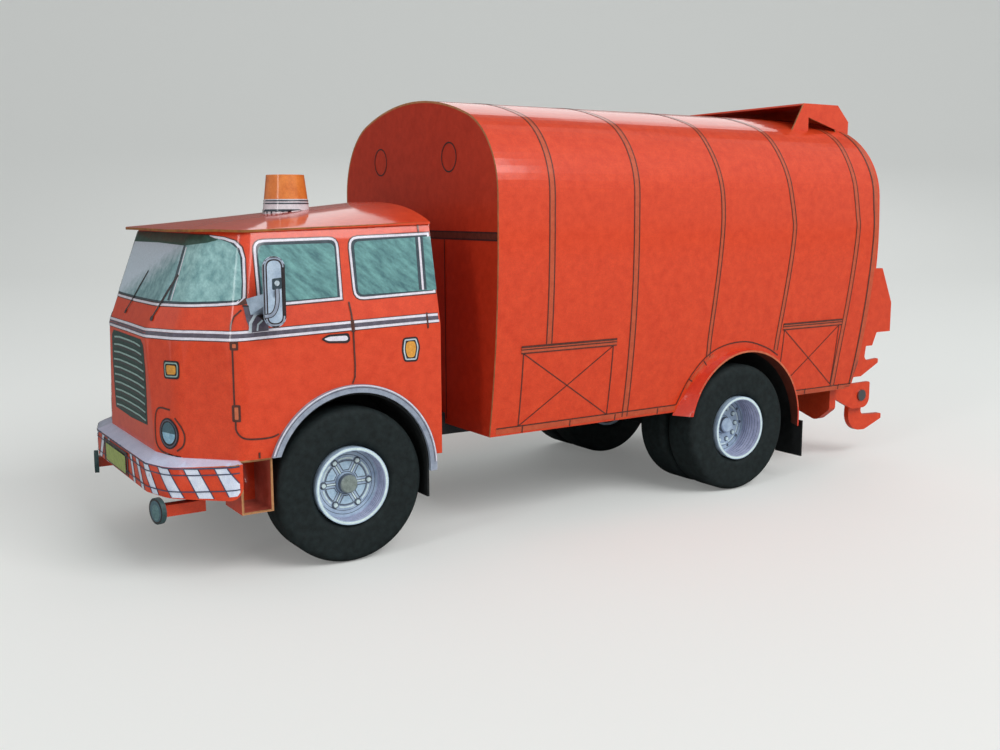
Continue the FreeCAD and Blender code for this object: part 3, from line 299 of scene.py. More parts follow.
def shell_piece(name, node, materials, sharp=32.0, thin=1.6):
    """Smooth copy of a card shell. Faces get the first material outside, the second on
    the cut edges of the card and the third inside. Card up to thin times its thickness is
    a wall and not an edge."""
    mesh = merged_copy(node, sharp)
    tree = BVHTree.FromPolygons([v.co for v in mesh.vertices], [tuple(p.vertices) for p in
        mesh.polygons])
    for face in mesh.polygons:
        back = tree.ray_cast(face.center - face.normal * HAIR * MM, -face.normal)
        if back[0] is None or back[3] > thin * CARD * MM:
            face.material_index = 1
        elif len(materials) > 2:
            if tree.ray_cast(face.center + face.normal * HAIR * MM, face.normal)[0] is not None:
                face.material_index = 2
    return as_piece(name, mesh, materials, "root", (node,))


# Printing: ink is a thin film that lies on the smooth surface of its card

INK_LIFT, FILM = 0.04, 0.02
# The smallest radius that is rounded, and the least share that a mitre divides by
LEAST_ROUND, LINE_MITRE, INSET_MITRE = 0.05, 0.6, 0.7


def rounded(corners, radius, steps=4):
    """Outline with each corner rounded; a corner is (u, v) or (u, v, its own radius)."""
    outline = []
    for i, corner in enumerate(corners):
        here = Vector(corner[:2])
        reach = corner[2] if len(corner) > 2 else radius
        ways = [Vector(corners[j % len(corners)][:2]) - here for j in (i - 1, i + 1)]
        start, end = (here + way.normalized() * min(reach, way.length / 2) for way in ways)
        count = steps if reach > LEAST_ROUND else 0
        for step in range(count + 1):
            t = step / count if count else 0.5
            outline.append(tuple(start.lerp(here, t).lerp(here.lerp(end, t), t)))
    return outline


def tablet(u0, u1, v0, v1, radius, steps=4):
    """Upright rectangle with rounded corners."""
    return rounded([(u0, v0), (u1, v0), (u1, v1), (u0, v1)], radius, steps)


def curved(points, steps=4):
    """Open line drawn smoothly through its points."""
    ends = [Vector(p) for p in points]
    ends = [2 * ends[0] - ends[1]] + ends + [2 * ends[-1] - ends[-2]]
    line = [tuple(points[0])]
    for a, b, c, d in zip(ends, ends[1:], ends[2:], ends[3:]):
        for step in range(1, steps + 1):
            t = step / steps
            line.append(tuple(b + (c - a) * t / 2 + (2 * a - 5 * b + 4 * c - d) * t * t / 2 +
                (3 * b - a - 3 * c + d) * t ** 3 / 2))
    return line


def ring(u, v, radius_u, radius_v=None, steps=28, first=0.0, last=360.0):
    """Points round a circle or ellipse, or along a part of it."""
    turns = [math.radians(first + (last - first) * i / steps) for i in range(steps + 1)]
    if abs(last - first) == 360:
        turns.pop()
    return [(u + radius_u * math.cos(a), v + (radius_v or radius_u) * math.sin(a)) for a in turns]


# A way of laying a flat drawing on a surface gives the start and the direction of the
# line along which each spot is laid. A line that misses takes the spot nearest to HALF_WAY.
BESIDE, AHEAD, BEHIND, ABOUT_BEACON, BEFORE_LAMP = 90, 120, -260, 20, 9
HALF_WAY = 55


def from_left(u, v):
    return Vector((u + FRONT_AXLE, BESIDE, v)), Vector((0, -1, 0))


def from_front(u, v):
    return Vector((AHEAD + FRONT_AXLE, u, v)), Vector((-1, 0, 0))


def from_behind(u, v):
    return Vector((BEHIND + FRONT_AXLE, u, v)), Vector((1, 0, 0))


def round_cab(u, v):
    """u is degrees round the upright line over the front axle, 0 ahead and 90 left."""
    way = Vector((math.cos(math.radians(u)), math.sin(math.radians(u)), 0))
    return Vector((FRONT_AXLE, 0, v)) + way * BESIDE, -way


def over_body(u, v):
    """v is degrees over the roof from the left side, u is the place along the truck."""
    way = Vector((0, math.cos(math.radians(v)), math.sin(math.radians(v))))
    return Vector((u + FRONT_AXLE, 0, BODY_AXIS_Z)) + way * BESIDE, -way


def from_lamp(u, v):
    """u runs across the driving lamp's glass, which is turned outwards."""
    ahead = Vector((math.cos(LAMP_TURN), math.sin(LAMP_TURN), 0))
    spot = LAMP_SEAT + Vector((FRONT_AXLE, 0, v)) + Vector((-ahead.y, ahead.x, 0)) * u
    return spot + ahead * BEFORE_LAMP, -ahead


def round_beacon(u, v):
    way = Vector((math.cos(math.radians(u)), math.sin(math.radians(u)), 0))
    return Vector((FRONT_AXLE + BEACON_X, 0, v)) + way * ABOUT_BEACON, -way


# Millimetres that one unit of u and v measures, about, where it isn't one
UNIT_SIZE = {round_cab: (0.65, 1), over_body: (1, 0.7), round_beacon: (0.09, 1)}


class Print:
    """Ink drawn on one card surface, in shapes that follow a way. Each shape is laid on the
    smooth surface and lifted a hair for its layer; piece() closes the shapes to thin films."""

    def __init__(self, mesh):
        mesh.calc_loop_triangles()
        self.card = [v.co / MM for v in mesh.vertices]
        self.bends = [n.vector.copy() for n in mesh.corner_normals]
        self.facets = [(tuple(t.vertices), tuple(t.loops)) for t in mesh.loop_triangles]
        self.tree = BVHTree.FromPolygons(self.card, [facet[0] for facet in self.facets])
        self.spots = []
        self.normals = []
        self.faces = []
        self.inks = []

    def smooth(self, spot, facet):
        """A spot of the card with the normal of the smooth surface there."""
        corners, loops = self.facets[facet]
        a, b, c = (self.card[i] for i in corners)
        ab, ac, ap = b - a, c - a, spot - a
        area = ab.dot(ab) * ac.dot(ac) - ab.dot(ac) ** 2
        wb = (ac.dot(ac) * ap.dot(ab) - ab.dot(ac) * ap.dot(ac)) / area
        wc = (ab.dot(ab) * ap.dot(ac) - ab.dot(ac) * ap.dot(ab)) / area
        bends = [self.bends[loop] for loop in loops]
        normal = bends[0] * (1 - wb - wc) + bends[1] * wb + bends[2] * wc
        return spot, normal.normalized()

    def lay(self, way, u, v):
        """Spot of the card, and its normal, where a spot of the drawing comes to lie."""
        start, ahead = way(u, v)
        spot, _, facet, _ = self.tree.ray_cast(start, ahead)
        if spot is None:
            spot, _, facet, _ = self.tree.find_nearest(start + ahead * HALF_WAY)
        return self.smooth(spot, facet)

    def film(self, spots, faces, ink, layer, both):
        """Adds one shape of ink, lifted for its layer."""
        first = len(self.spots)
        lift = INK_LIFT * (1 + layer)
        self.spots += [spot + normal * lift for spot, normal in spots]
        self.normals += [normal for _, normal in spots]
        self.faces += [tuple(first + i for i in face) for face in faces]
        self.inks += [(ink, both)] * len(faces)

    def fill(self, way, outline, ink, layer=0, both=True, step=0.9):
        """Area of ink inside an outline of (u, v) points."""
        flat = bmesh.new()
        flat.faces.new([flat.verts.new((u, v, 0)) for u, v in outline])
        bmesh.ops.triangulate(flat, faces=flat.faces)
        for axis, size in enumerate(UNIT_SIZE.get(way, (1, 1))):
            low = min(spot[axis] for spot in outline)
            length = max(spot[axis] for spot in outline) - low
            count = math.ceil(length * size / step)
            side = Vector((1 - axis, axis, 0))
            for cut in range(1, count):
                bmesh.ops.bisect_plane(flat, geom=flat.verts[:] + flat.edges[:] + flat.faces[:],
                    plane_co=side * (low + length * cut / count), plane_no=side)
        bmesh.ops.triangulate(flat, faces=flat.faces)
        flat.verts.index_update()
        spots = [self.lay(way, v.co.x, v.co.y) for v in flat.verts]
        faces = [tuple(v.index for v in face.verts) for face in flat.faces]
        flat.free()
        self.film(spots, self.outwards(spots, faces), ink, layer, both)

    def outwards(self, spots, faces):
        """The faces, each turned to look away from the card."""
        turned = []
        for face in faces:
            a, b, c = (spots[i][0] for i in face[:3])
            flip = (b - a).cross(c - a).dot(spots[face[0]][1]) < 0
            turned.append(face[::-1] if flip else face)
        return turned

    def stroke(self, way, line, width, ink, layer=1, closed=False, both=True, step=0.7):
        """Line of ink of one width along (u, v) points."""
        size = UNIT_SIZE.get(way, (1, 1))
        stations = []
        for a, b in zip(line, line[1:] + line[:1] if closed else line[1:]):
            length = math.hypot((b[0] - a[0]) * size[0], (b[1] - a[1]) * size[1])
            count = max(1, math.ceil(length / step))
            stations += [(a[0] + (b[0] - a[0]) * i / count, a[1] + (b[1] - a[1]) * i / count) for i
                in range(count)]
        if not closed:
            stations.append(line[-1])
        middle = [self.lay(way, u, v) for u, v in stations]
        edges = []
        last = len(middle) - 1
        for i, (spot, normal) in enumerate(middle):
            before = middle[i - 1 if i or closed else 0][0]
            after = middle[(i + 1) % len(middle) if closed else min(i + 1, last)][0]
            into, out = (spot - before).normalized(), (after - spot).normalized()
            along = (into + out).normalized()
            mitre = max(LINE_MITRE, along.dot(into if into.length else out))
            across = normal.cross(along).normalized() * (width / 2 / mitre)
            for corner in (spot - across, spot + across):
                nearest, _, facet, _ = self.tree.find_nearest(corner)
                edges.append(self.smooth(nearest, facet))
        count = len(middle) if closed else last
        faces = []
        for i in range(count):
            j = (i + 1) % len(middle)
            faces.append((2 * i, 2 * j, 2 * j + 1, 2 * i + 1))
        self.film(edges, self.outwards(edges, faces), ink, layer, both)

    def draw(self, way, *rows, **how):
        """Prints in turn. A row is (outline, ink, layer) for a filled area, (points, width, ink,
        layer) for a line, and a closed line has True at the end of its row."""
        for row in rows:
            (self.fill if len(row) == 3 else self.stroke)(way, *row, **how)

    def piece(self, name, body="root"):
        """Close every film with a back and side walls, and mirror what is on both sides."""
        open_edges = {}
        for face in self.faces:
            for a, b in zip(face, face[1:] + face[:1]):
                if (b, a) in open_edges:
                    del open_edges[(b, a)]
                else:
                    open_edges[(a, b)] = True
        count = len(self.spots)
        spots = self.spots + [s - n * FILM for s, n in zip(self.spots, self.normals)]
        faces, bends, inks = [], [], []
        for face, ink in zip(self.faces, self.inks):
            faces += [face, tuple(i + count for i in reversed(face))]
            bends += [self.normals[i] for i in face] + [-self.normals[i] for i in reversed(face)]
            inks += [ink, ink]
            for a, b in zip(face, face[1:] + face[:1]):
                if (a, b) in open_edges:
                    wall = (b, a, a + count, b + count)
                    facing = (spots[a] - spots[b]).cross(self.normals[a]).normalized()
                    faces.append(wall)
                    bends += [facing] * 4
                    inks.append(ink)
        flip = Matrix.Diagonal((1, -1, 1))
        far = {}
        corner = 0
        for face, (ink, both) in list(zip(faces, inks)):
            if both:
                faces.append(tuple(far.setdefault(i, len(spots) + len(far)) for i in
                    reversed(face)))
                bends += [flip @ n for n in reversed(bends[corner:corner + len(face)])]
                inks.append((ink, both))
            corner += len(face)
        spots += [flip @ spots[i] for i in far]
        used = list(dict.fromkeys([ink for ink, _ in inks]))
        mesh = bpy.data.meshes.new(name)
        mesh.from_pydata([s * MM for s in spots], [], faces)
        mesh.polygons.foreach_set("use_smooth", [True] * len(mesh.polygons))
        mesh.polygons.foreach_set("material_index", [used.index(ink) for ink, _ in inks])
        mesh.normals_split_custom_set(bends)
        return as_piece(name, mesh, used, body)


# CAD pieces that show as they are, by their card
PLAIN = (
    (frame_card, "frame front_axle rear_axle front_springs rear_springs engine_and_gearbox "
        "drive_shaft"),
    (black_card, "cab_floor body_floor front_wheel_liner_left front_wheel_liner_right "
        "rear_wheel_liner_left rear_wheel_liner_right mud_flaps"),
    (orange_card, "cab_rear_wall body_rear_wall driving_lamp_arms lifter_lugs rear_beam "
        "lifter_fork lifter_brackets"),
    (shaded_bulkhead_card, "body_front_wall"), (lamp_wall, "driving_lamps"), (wire_metal, "lifter_pins"),
    (beacon_card, "beacon_lens"), (band_card, "beacon_band"))
for material, node_names in PLAIN:
    for node_name in node_names.split():
        data = NODES[node_name].data
        data.materials.clear()
        data.materials.append(material)


# Cab: card shells, then everything that is printed on them

CARD_LAYERS = (orange_card, cut_edge, card_back)
REAR_AXLE = Vector((FRONT_AXLE + REAR_AXLE_X, 0, AXLE_Z)) * MM
cab = shell_piece("cab_wrap", "cab_shell", CARD_LAYERS, sharp=40)
shell_piece("cab_roof_sheet", "cab_roof", (orange_card, roof_edge), thin=2.6)
body = shell_piece("body_wrap", "body_shell", CARD_LAYERS)
bumper = shell_piece("bumper_wrap", "front_bumper", (orange_card, cut_edge, red_card),
    sharp=25, thin=2.6)
shell_piece("hood_box", "hood", (orange_card, cut_edge, red_card))
# How far a face turns to the axle on a mudguard's underside, where it takes the painted shade, and
# up on the bumper's ledge
UNDERSIDE, SLOPING = 0.5, 0.4
for word in ("left", "right"):
    lip = shell_piece("rear_arch_lip_" + word, "rear_mudguard_" + word,
        (mudguard_card, lip_edge, shaded_card))
    for face in lip.data.polygons:
        to_axle = REAR_AXLE - face.center
        to_axle.y = 0
        if face.material_index == 0 and face.normal.dot(to_axle.normalized()) > UNDERSIDE:
            face.material_index = 2
    shell_piece("front_arch_ring_" + word, "front_arch_trim_" + word, (grey_card, grey_card))
    shell_piece("step_" + word, "step_box_" + word, (orange_card, cut_edge, red_card))

cab_print = Print(cab.data)


def inset(way, outline, depth):
    """Outline moved inwards by a depth in millimetres."""
    size = Vector(UNIT_SIZE.get(way, (1, 1)))
    flat = [Vector((u * size.x, v * size.y)) for u, v in outline]
    turn = sum(a.x * b.y - b.x * a.y for a, b in zip(flat, flat[1:] + flat[:1]))
    moved = []
    for i, spot in enumerate(flat):
        into = (spot - flat[i - 1]).normalized()
        out = (flat[(i + 1) % len(flat)] - spot).normalized()
        along = (into + out).normalized()
        inward = Vector((-along.y, along.x)) * (1 if turn > 0 else -1)
        moved.append(spot + inward * depth / max(INSET_MITRE, along.dot(out)))
    return [(spot.x / size.x, spot.y / size.y) for spot in moved]


def window(way, outer, glass, ink):
    """Printed window: dark outline, pale frame, dark recess and the brushed glass."""
    cab_print.draw(way,
        (outer, line_ink, 0),
        (inset(way, outer, 0.5), 0.5, white_ink, 1, True),
        (inset(way, outer, 0.78), recess_ink, 1),
        (glass, ink, 2))


# Side windows of the left side; the print mirrors them
window(from_left, rounded([(19.1, 69.8), (0.0, 70.1), (0.5, 56.7, 0), (19.4, 56.0, 0)], 2.4),
    rounded([(18.0, 68.5), (1.2, 68.6), (1.8, 57.6, 0.2), (18.2, 57.1, 0.2)], 1.4), side_glass)
window(from_left, rounded([(-1.8, 70.1), (-21.9, 70.7, 0), (-21.9, 57.1, 0), (-1.7, 56.4)], 2.6),
    rounded([(-3.3, 68.8), (-21.95, 69.6, 0), (-21.95, 58.0, 0), (-3.0, 57.7)], 1.3), side_glass)
cab_print.draw(from_left,
    ([(-19.05, 69.5), (-18.55, 58.1)], 1.9, recess_ink, 3),
    ([(-19.05, 69.5), (-18.55, 58.1)], 0.5, white_ink, 4))

# Windscreen: one print from corner to corner, with a lighter painted reflection of the sky on its
# flat front
SCREEN_EDGE = [(59.3, 57.0), (59.2, 61.3), (58.9, 66.0), (58.0, 68.3), (56.0, 69.6), (52.0, 70.3),
    (46.5, 70.7), (35.0, 70.8), (0.0, 70.8)]
SCREEN_FOOT = [(0.0, 55.6), (21.0, 55.7), (34.5, 55.95), (43.5, 56.15), (50.5, 56.4), (57.0, 56.8)]
GLASS_EDGE = [(57.7, 58.1), (57.8, 61.3), (57.2, 66.4), (56.1, 68.0), (54.0, 69.0), (49.5, 69.9),
    (34.0, 70.2), (0.0, 70.2)]
GLASS_FOOT = [(0.0, 56.8), (21.0, 56.9), (34.5, 57.1), (43.5, 57.3), (50.5, 57.5), (56.6, 57.8)]
cab_print.draw(round_cab,
    (SCREEN_FOOT + SCREEN_EDGE, line_ink, 0),
    ([(0.0, 56.0), (21.0, 56.1), (34.5, 56.35), (43.5, 56.55), (50.5, 56.8), (56.6, 57.2),
        (58.5, 58.4), (58.5, 61.3), (58.2, 66.0), (57.3, 68.0), (55.4, 69.2), (51.8, 69.9),
        (46.5, 70.3)], 0.5, white_ink, 1),
    ([(0.0, 56.35), (34.5, 56.65), (50.5, 57.1), (57.2, 57.5), (58.1, 58.2), (58.1, 61.3),
        (57.8, 65.8), (57.0, 67.7), (55.2, 68.9), (51.6, 69.6), (46.5, 70.1), (0.0, 70.5)],
        recess_ink, 1),
    ([p for p in GLASS_FOOT if p[0] < 34] + [(33.0, 57.1), (35.9, 70.1), (0.0, 70.1)], front_glass,
        2),
    ([(33.0, 57.1)] + [p for p in GLASS_FOOT if p[0] > 34] + GLASS_EDGE[:-2] + [(35.9, 70.0)],
        corner_glass, 2),
    # Dark post line up the screen, and beside it a pale line that is a painted highlight on the
    # card's fold
    ([(34.9, 68.5), (33.5, 62.8), (31.7, 57.2)], 0.8, recess_ink, 3),
    ([(36.0, 68.0), (34.6, 62.2), (33.2, 57.2)], 0.3, white_ink, 3),
    # Painted shadow of the visor along the top of the screen
    ([(0.0, 68.5), (35.0, 68.3), (46.0, 69.0), (50.0, 69.6), (46.0, 70.5), (0.0, 70.7)], visor_shadow_ink,
        3))

# Wipers, both leaning the same way
FAR_WIPER = -32.0
for lean in (0.0, FAR_WIPER):
    cab_print.draw(round_cab,
        ([(34.5 + lean, 62.4), (30.5 + lean, 59.0), (27.8 + lean, 56.3)], 0.75, black_ink, 4),
        ([(28.4 + lean, 57.0), (24.7 + lean, 53.4)], 0.45, black_ink, 4),
        (ring(24.7 + lean, 53.3, 0.9, 0.55, 12), black_ink, 4), both=False)

# Belt band right round the cab
BELT = [(0, 50.35), (21, 50.3), (34.5, 50.55), (43, 50.7), (50, 50.75), (55.5, 50.75), (59, 50.85),
    (62, 50.95), (75, 51.2), (90, 51.45), (116.5, 51.9), (120.2, 51.95)]


def across(points, shift=0.0):
    """Line from the middle out to the left, drawn out to the right as well."""
    near = [(u, v + shift) for u, v in points]
    return [(-u, v) for u, v in reversed(near[1:])] + near


cab_print.draw(round_cab,
    (across(BELT), 2.3, line_ink, 0),
    (across(BELT), 0.85, slate_ink, 1),
    (across(BELT, -0.68), 0.52, white_ink, 2),
    (across(BELT, 0.68), 0.52, white_ink, 2), both=False)

# Door seams, hinges, handle and side marker
cab_print.draw(from_left,
    ([(-0.6, 56.4), (-0.9, 53.7), (-0.9, 49.7), (-1.1, 43.1), (-1.0, 40.6), (-0.4, 39.2)], 0.38,
        line_ink, 3),
    ([(-0.9, 52.6), (-0.9, 50.1)], 0.8, line_ink, 3),
    (curved([(24.9, 49.6), (24.9, 37.1), (24.8, 33.6), (24.7, 31.6), (23.6, 30.2), (21.2, 29.8),
        (18.0, 29.8), (16.3, 30.3)]), 0.38, line_ink, 1))
for low, high in ((48.0, 49.8), (33.5, 37.0)):
    cab_print.draw(from_left,
        (tablet(23.9, 25.3, low, high, 0.3), line_ink, 1),
        (tablet(24.3, 24.9, low + 0.5, high - 0.5, 0.15), lip_edge, 2))
cab_print.draw(from_left,
    (rounded([(6.5, 49.1), (4.9, 49.95), (0.2, 50.0), (-0.2, 48.6), (0.4, 47.9), (5.0, 48.2)], 0.5),
        black_ink, 3),
    (rounded([(5.9, 49.1), (4.6, 49.5), (0.7, 49.5), (0.3, 48.8), (0.8, 48.4), (4.8, 48.6)], 0.4),
        white_ink, 4))
MARKER = [(-12.6, 48.1), (-16.1, 48.2), (-16.8, 45.9), (-16.1, 42.7), (-12.8, 42.8), (-12.2, 45.4)]
AMBER = [(-13.5, 47.2), (-15.4, 47.2), (-15.8, 45.7), (-15.3, 43.7), (-13.7, 43.7), (-13.1, 45.6)]
cab_print.draw(from_left,
    (rounded(MARKER, 0.7), black_ink, 1),
    (inset(from_left, rounded(MARKER, 0.7), 0.55), 0.3, frame_ink, 2, True),
    (rounded(AMBER, 0.6), amber_ink, 2))

# Short registration ticks by the seams
for tick in ([(-19.1, 70.6), (-19.1, 72.3)], [(-18.8, 49.8), (-18.8, 53.2)],
        [(20.6, 25.8), (20.6, 27.0)]):
    cab_print.stroke(from_left, tick, 0.4, line_ink, 3)
cab_print.stroke(round_cab, [(57.6, 70.9), (57.6, 71.5)], 0.4, line_ink, 1)

# Grille: dark panel with pale slats
cab_print.fill(round_cab, [(0, 48.6), (17.6, 48.6), (20.0, 47.4), (20.9, 42.5), (20.8, 36.9),
    (20.2, 30.4), (0, 30.0)], grille_ink, 0)
SLATS, SLAT_TOP, SLAT_PITCH = 10, 47.3, 1.76
for i in range(SLATS):
    level = SLAT_TOP - SLAT_PITCH * i
    reach = 16.8 + 2.3 * min(1, i / 3) - 0.08 * max(0, i - 5)
    cab_print.draw(round_cab,
        ([(0, level + 0.15), (reach * 0.6, level + 0.1), (reach, level - 0.25)], 0.38, slat_ink, 1),
        ([(0, level - 0.35), (reach * 0.6, level - 0.4), (reach, level - 0.7)], 0.4, black_ink, 1))

# Turn signals and headlights
cab_print.draw(round_cab,
    (rounded([(32.5, 41.4), (39.3, 41.7), (39.3, 45.4), (32.3, 45.2)], 1.0), black_ink, 1),
    (rounded([(33.3, 41.95), (38.6, 42.2), (38.6, 44.9), (33.1, 44.7)], 0.7), 0.28, slat_ink, 2,
        True),
    (rounded([(34.0, 42.4), (38.0, 42.6), (38.0, 44.4), (33.8, 44.3)], 0.6), amber_ink, 2),
    (ring(34.0, 30.1, 4.5, 3.25), black_ink, 1),
    (ring(34.0, 30.1, 3.8, 2.75), 0.3, slate_ink, 2, True),
    (ring(34.1, 30.2, 3.0, 2.25, first=0, last=180, steps=16), lamp_shade_ink, 2),
    (ring(34.1, 30.2, 3.0, 2.25, first=180, last=360, steps=16), lamp_light_ink, 2),
    (curved([(35.0, 35.1), (29.6, 35.1), (27.6, 33.5), (27.2, 30.2), (27.7, 27.6), (30.0, 26.2),
        (34.0, 25.75), (39.0, 25.6)]), 0.38, line_ink, 1),
    (curved([(37.0, 33.6), (39.3, 31.9), (40.4, 30.0), (39.8, 28.0), (37.6, 26.8)]), 0.38, line_ink,
        1))

# Printed foot of the mirror arm beside the screen corner
cab_print.draw(from_left,
    ([(24.9, 51.9), (24.7, 53.0), (24.0, 54.6), (22.6, 55.9)], 0.35, line_ink, 3),
    ([(22.2, 56.6), (18.7, 56.6), (17.3, 54.8), (17.6, 51.6), (21.2, 51.4), (21.9, 53.6)],
        slate_ink, 3),
    ([(21.5, 51.4), (21.2, 53.3), (20.1, 54.8), (18.6, 55.4)], 0.6, frame_ink, 4),
    ([(20.0, 51.7), (19.7, 52.9), (18.4, 53.9)], 0.35, frame_ink, 4),
    ([(22.3, 56.7), (18.5, 56.3)], 0.35, black_ink, 4))
cab_print.piece("cab_prints")

# Bumper: pale ledge, red and white stripes, two fine lines and a blank plate
bumper_print = Print(bumper.data)
FACE_TOP = [(0, 23.95), (28.3, 23.95), (33, 23.95), (45.4, 24.3), (51.1, 24.6), (56.9, 25.0)]
FACE_FOOT = [(0, 18.0), (28.3, 18.0), (33, 18.0), (56.9, 18.4)]


def level_at(points, u):
    """Height of an edge of the bumper's face at u."""
    for (u0, v0), (u1, v1) in zip(points, points[1:]):
        if abs(u) <= u1:
            return v0 + (v1 - v0) * (abs(u) - u0) / (u1 - u0)
    return points[-1][1]


def stripe(u_top, u_foot, wide_top, wide_foot):
    """White slanting stripe of the bumper's face between its fine edge lines."""
    top, foot = ([(u, level_at(edge, u)) for u in (start, start + wide / 2, start + wide)]
        for edge, start, wide in ((FACE_TOP, u_top, wide_top), (FACE_FOOT, u_foot, wide_foot)))
    foot.reverse()
    bumper_print.fill(round_cab, top + foot, bumper_card, 0)
    for a, b in ((top[0], foot[-1]), (top[-1], foot[0])):
        bumper_print.stroke(round_cab, [a, b], 0.22, stripe_line_ink, 1)


for edges in ((12.4, 15.6, 2.6, 2.4), (19.0, 23.8, 3.0, 2.8), (26.4, 31.0, 3.2, 3.0),
        (33.9, 38.8, 4.1, 3.6), (42.4, 46.2, 3.8, 4.1)):
    stripe(*edges)
bumper_print.fill(round_cab, [(50.7, 24.4), (54.0, 24.6), (56.8, 21.4), (56.8, 19.6), (56.2, 18.9),
    (54.2, 18.75)], bumper_card, 1, step=0.5)
bumper_print.draw(round_cab,
    ([(50.7, 24.4), (54.2, 18.75)], 0.22, stripe_line_ink, 2),
    ([(54.0, 24.6), (56.7, 21.6)], 0.22, stripe_line_ink, 2))
bumper_print.draw(round_cab,
    (across(FACE_TOP, -1.35), 0.24, stripe_line_ink, 3),
    (across(FACE_TOP, -4.75), 0.24, stripe_line_ink, 3),
    (across(FACE_TOP), 0.3, stripe_line_ink, 3), both=False)
PLATE_LEFT, PLATE_RIGHT = 5.4, -12.6
bumper_print.draw(from_front,
    ([(PLATE_RIGHT, 18.2), (PLATE_LEFT, 18.2), (PLATE_LEFT, 22.9), (PLATE_RIGHT, 22.9)], black_ink,
        3),
    (tablet(PLATE_RIGHT + 0.4, PLATE_LEFT - 0.4, 18.5, 22.4, 0.4), plate_ink, 4), both=False)
for y in (PLATE_LEFT + 1.2, PLATE_RIGHT - 1.2):
    bumper_print.stroke(from_front, [(y, 23.4), (y, 18.1)], 0.8, black_ink, 3, both=False)
bumper_print.stroke(from_front, [(PLATE_RIGHT - 1.5, 23.2), (PLATE_LEFT + 1.5, 23.2)], 0.45,
    black_ink, 3, both=False)
bumper_print.piece("bumper_prints")

# The ledge is its own pale card: the bumper's sloping faces take the bumper colour
ledge_index = len(bumper.data.materials)
bumper.data.materials.append(ledge_card)
for face in bumper.data.polygons:
    if face.material_index == 0 and face.normal.z > SLOPING:
        face.material_index = ledge_index

# Load body: ribs over the roof, panels, arch line and foot line
body_print = Print(body.data)


def wrap_angle(x, z):
    """Degrees over the roof of a spot on the left side that is given by its height."""
    spot = body_print.lay(from_left, x, z)[0]
    return math.degrees(math.atan2(spot.z - BODY_AXIS_Z, spot.y))


def over_roof(points):
    """Side line of (x, z) points, up one side, over the roof and down the other."""
    near = [(x, wrap_angle(x, z)) for x, z in reversed(points)]
    return near + [(x, 180 - v) for x, v in reversed(near)]


RIBS = (
    (0.75, [(-51.0, 95.5), (-50.8, 89), (-50.8, 67), (-50.8, 44.1)]),
    (0.8, [(-76.1, 95.5), (-75.9, 89), (-76.0, 67), (-76.1, 23.6)]),
    (0.6, [(-103.4, 96.6), (-102.8, 91), (-103.5, 84), (-104.5, 76.5), (-104.5, 68), (-102.5, 45),
        (-102.4, 36.8)]),
    (0.65, [(-127.7, 95.5), (-127.7, 89), (-129.2, 80), (-130.8, 73), (-131.0, 67), (-128.2, 45),
        (-127.5, 36.8)]),
    (0.75, [(-154.8, 93.8), (-154.4, 88), (-155.3, 80), (-156.6, 73), (-156.9, 67), (-153.8, 38),
        (-153.2, 24.3)]))
for half, points in RIBS:
    rib = over_roof(curved(points))
    edges = ([(u + shift, v) for u, v in rib] for shift in (-half, half))
    body_print.draw(over_body, (rib, 2 * half, rib_ink, 0),
        *((edge, 0.3, line_ink, 1) for edge in edges), both=False, step=1.2)
SEAM = [(-161.6, 94.5), (-161.9, 88.8), (-162.4, 83.9), (-163.1, 76.4), (-163.7, 66.5),
    (-161.5, 34.3), (-160.7, 24.2)]
seam = over_roof(curved(SEAM))
body_print.draw(over_body,
    (seam, 0.5, line_ink, 1),
    ([(u - 1.1, v) for u, v in seam], 1.6, rib_ink, 0), both=False, step=1.2)


def crossed_panel(front_x, rear_x, head_z, foot_z):
    """Printed service panel: a double header line, a frame and a cross."""
    for level, wide in ((head_z, 0.5), (head_z - 0.65, 0.28), (head_z - 1.5, 0.28)):
        body_print.stroke(from_left, [(front_x, level), (rear_x, level)], wide, line_ink, 3)
    body_print.fill(from_left, [(front_x, head_z), (rear_x, head_z), (rear_x, head_z - 1.4),
        (front_x, head_z - 1.4)], rib_ink, 2)
    inner = (front_x - 0.7, rear_x + 1.0)
    for x in inner:
        body_print.stroke(from_left, [(x, head_z - 1.5), (x, foot_z)], 0.3, line_ink, 1)
    for a, b in (inner, inner[::-1]):
        body_print.stroke(from_left, [(a, head_z - 1.6), (b, foot_z)], 0.26, line_ink, 1)


crossed_panel(-43.0, -71.2, 43.9, 24.8)
crossed_panel(-129.4, -153.2, 43.9, 25.0)
for foot in ([(-37.6, 24.8), (-93.0, 24.9)], [(-128.9, 24.4), (-162.0, 24.3)]):
    body_print.draw(from_left,
        ([(x, z - 0.8) for x, z in foot], 1.3, rib_ink, 0),
        (foot, 0.3, line_ink, 1))
    for x in range(int(foot[1][0]) + 6, int(foot[0][0]), 14):
        body_print.stroke(from_left, [(x, 24.6), (x, 23.1)], 0.35, line_ink, 1)
body_print.draw(from_left,
    (curved([(-93.1, 24.9), (-96.3, 31.3), (-101.3, 36.7), (-107.4, 39.5), (-115.8, 40.1),
        (-123.7, 37.9), (-128.6, 35.4)]), 0.32, line_ink, 2),
    (curved([(-96.0, 29.0), (-97.6, 31.4), (-101.9, 35.8), (-104.5, 37.3)]), 0.9, rib_ink, 0))
for a, b in (((-96.6, 31.4), (-98.4, 30.4)), ((-101.0, 36.0), (-102.2, 34.7))):
    body_print.stroke(from_left, [a, b], 0.35, line_ink, 1)
body_print.piece("body_prints")

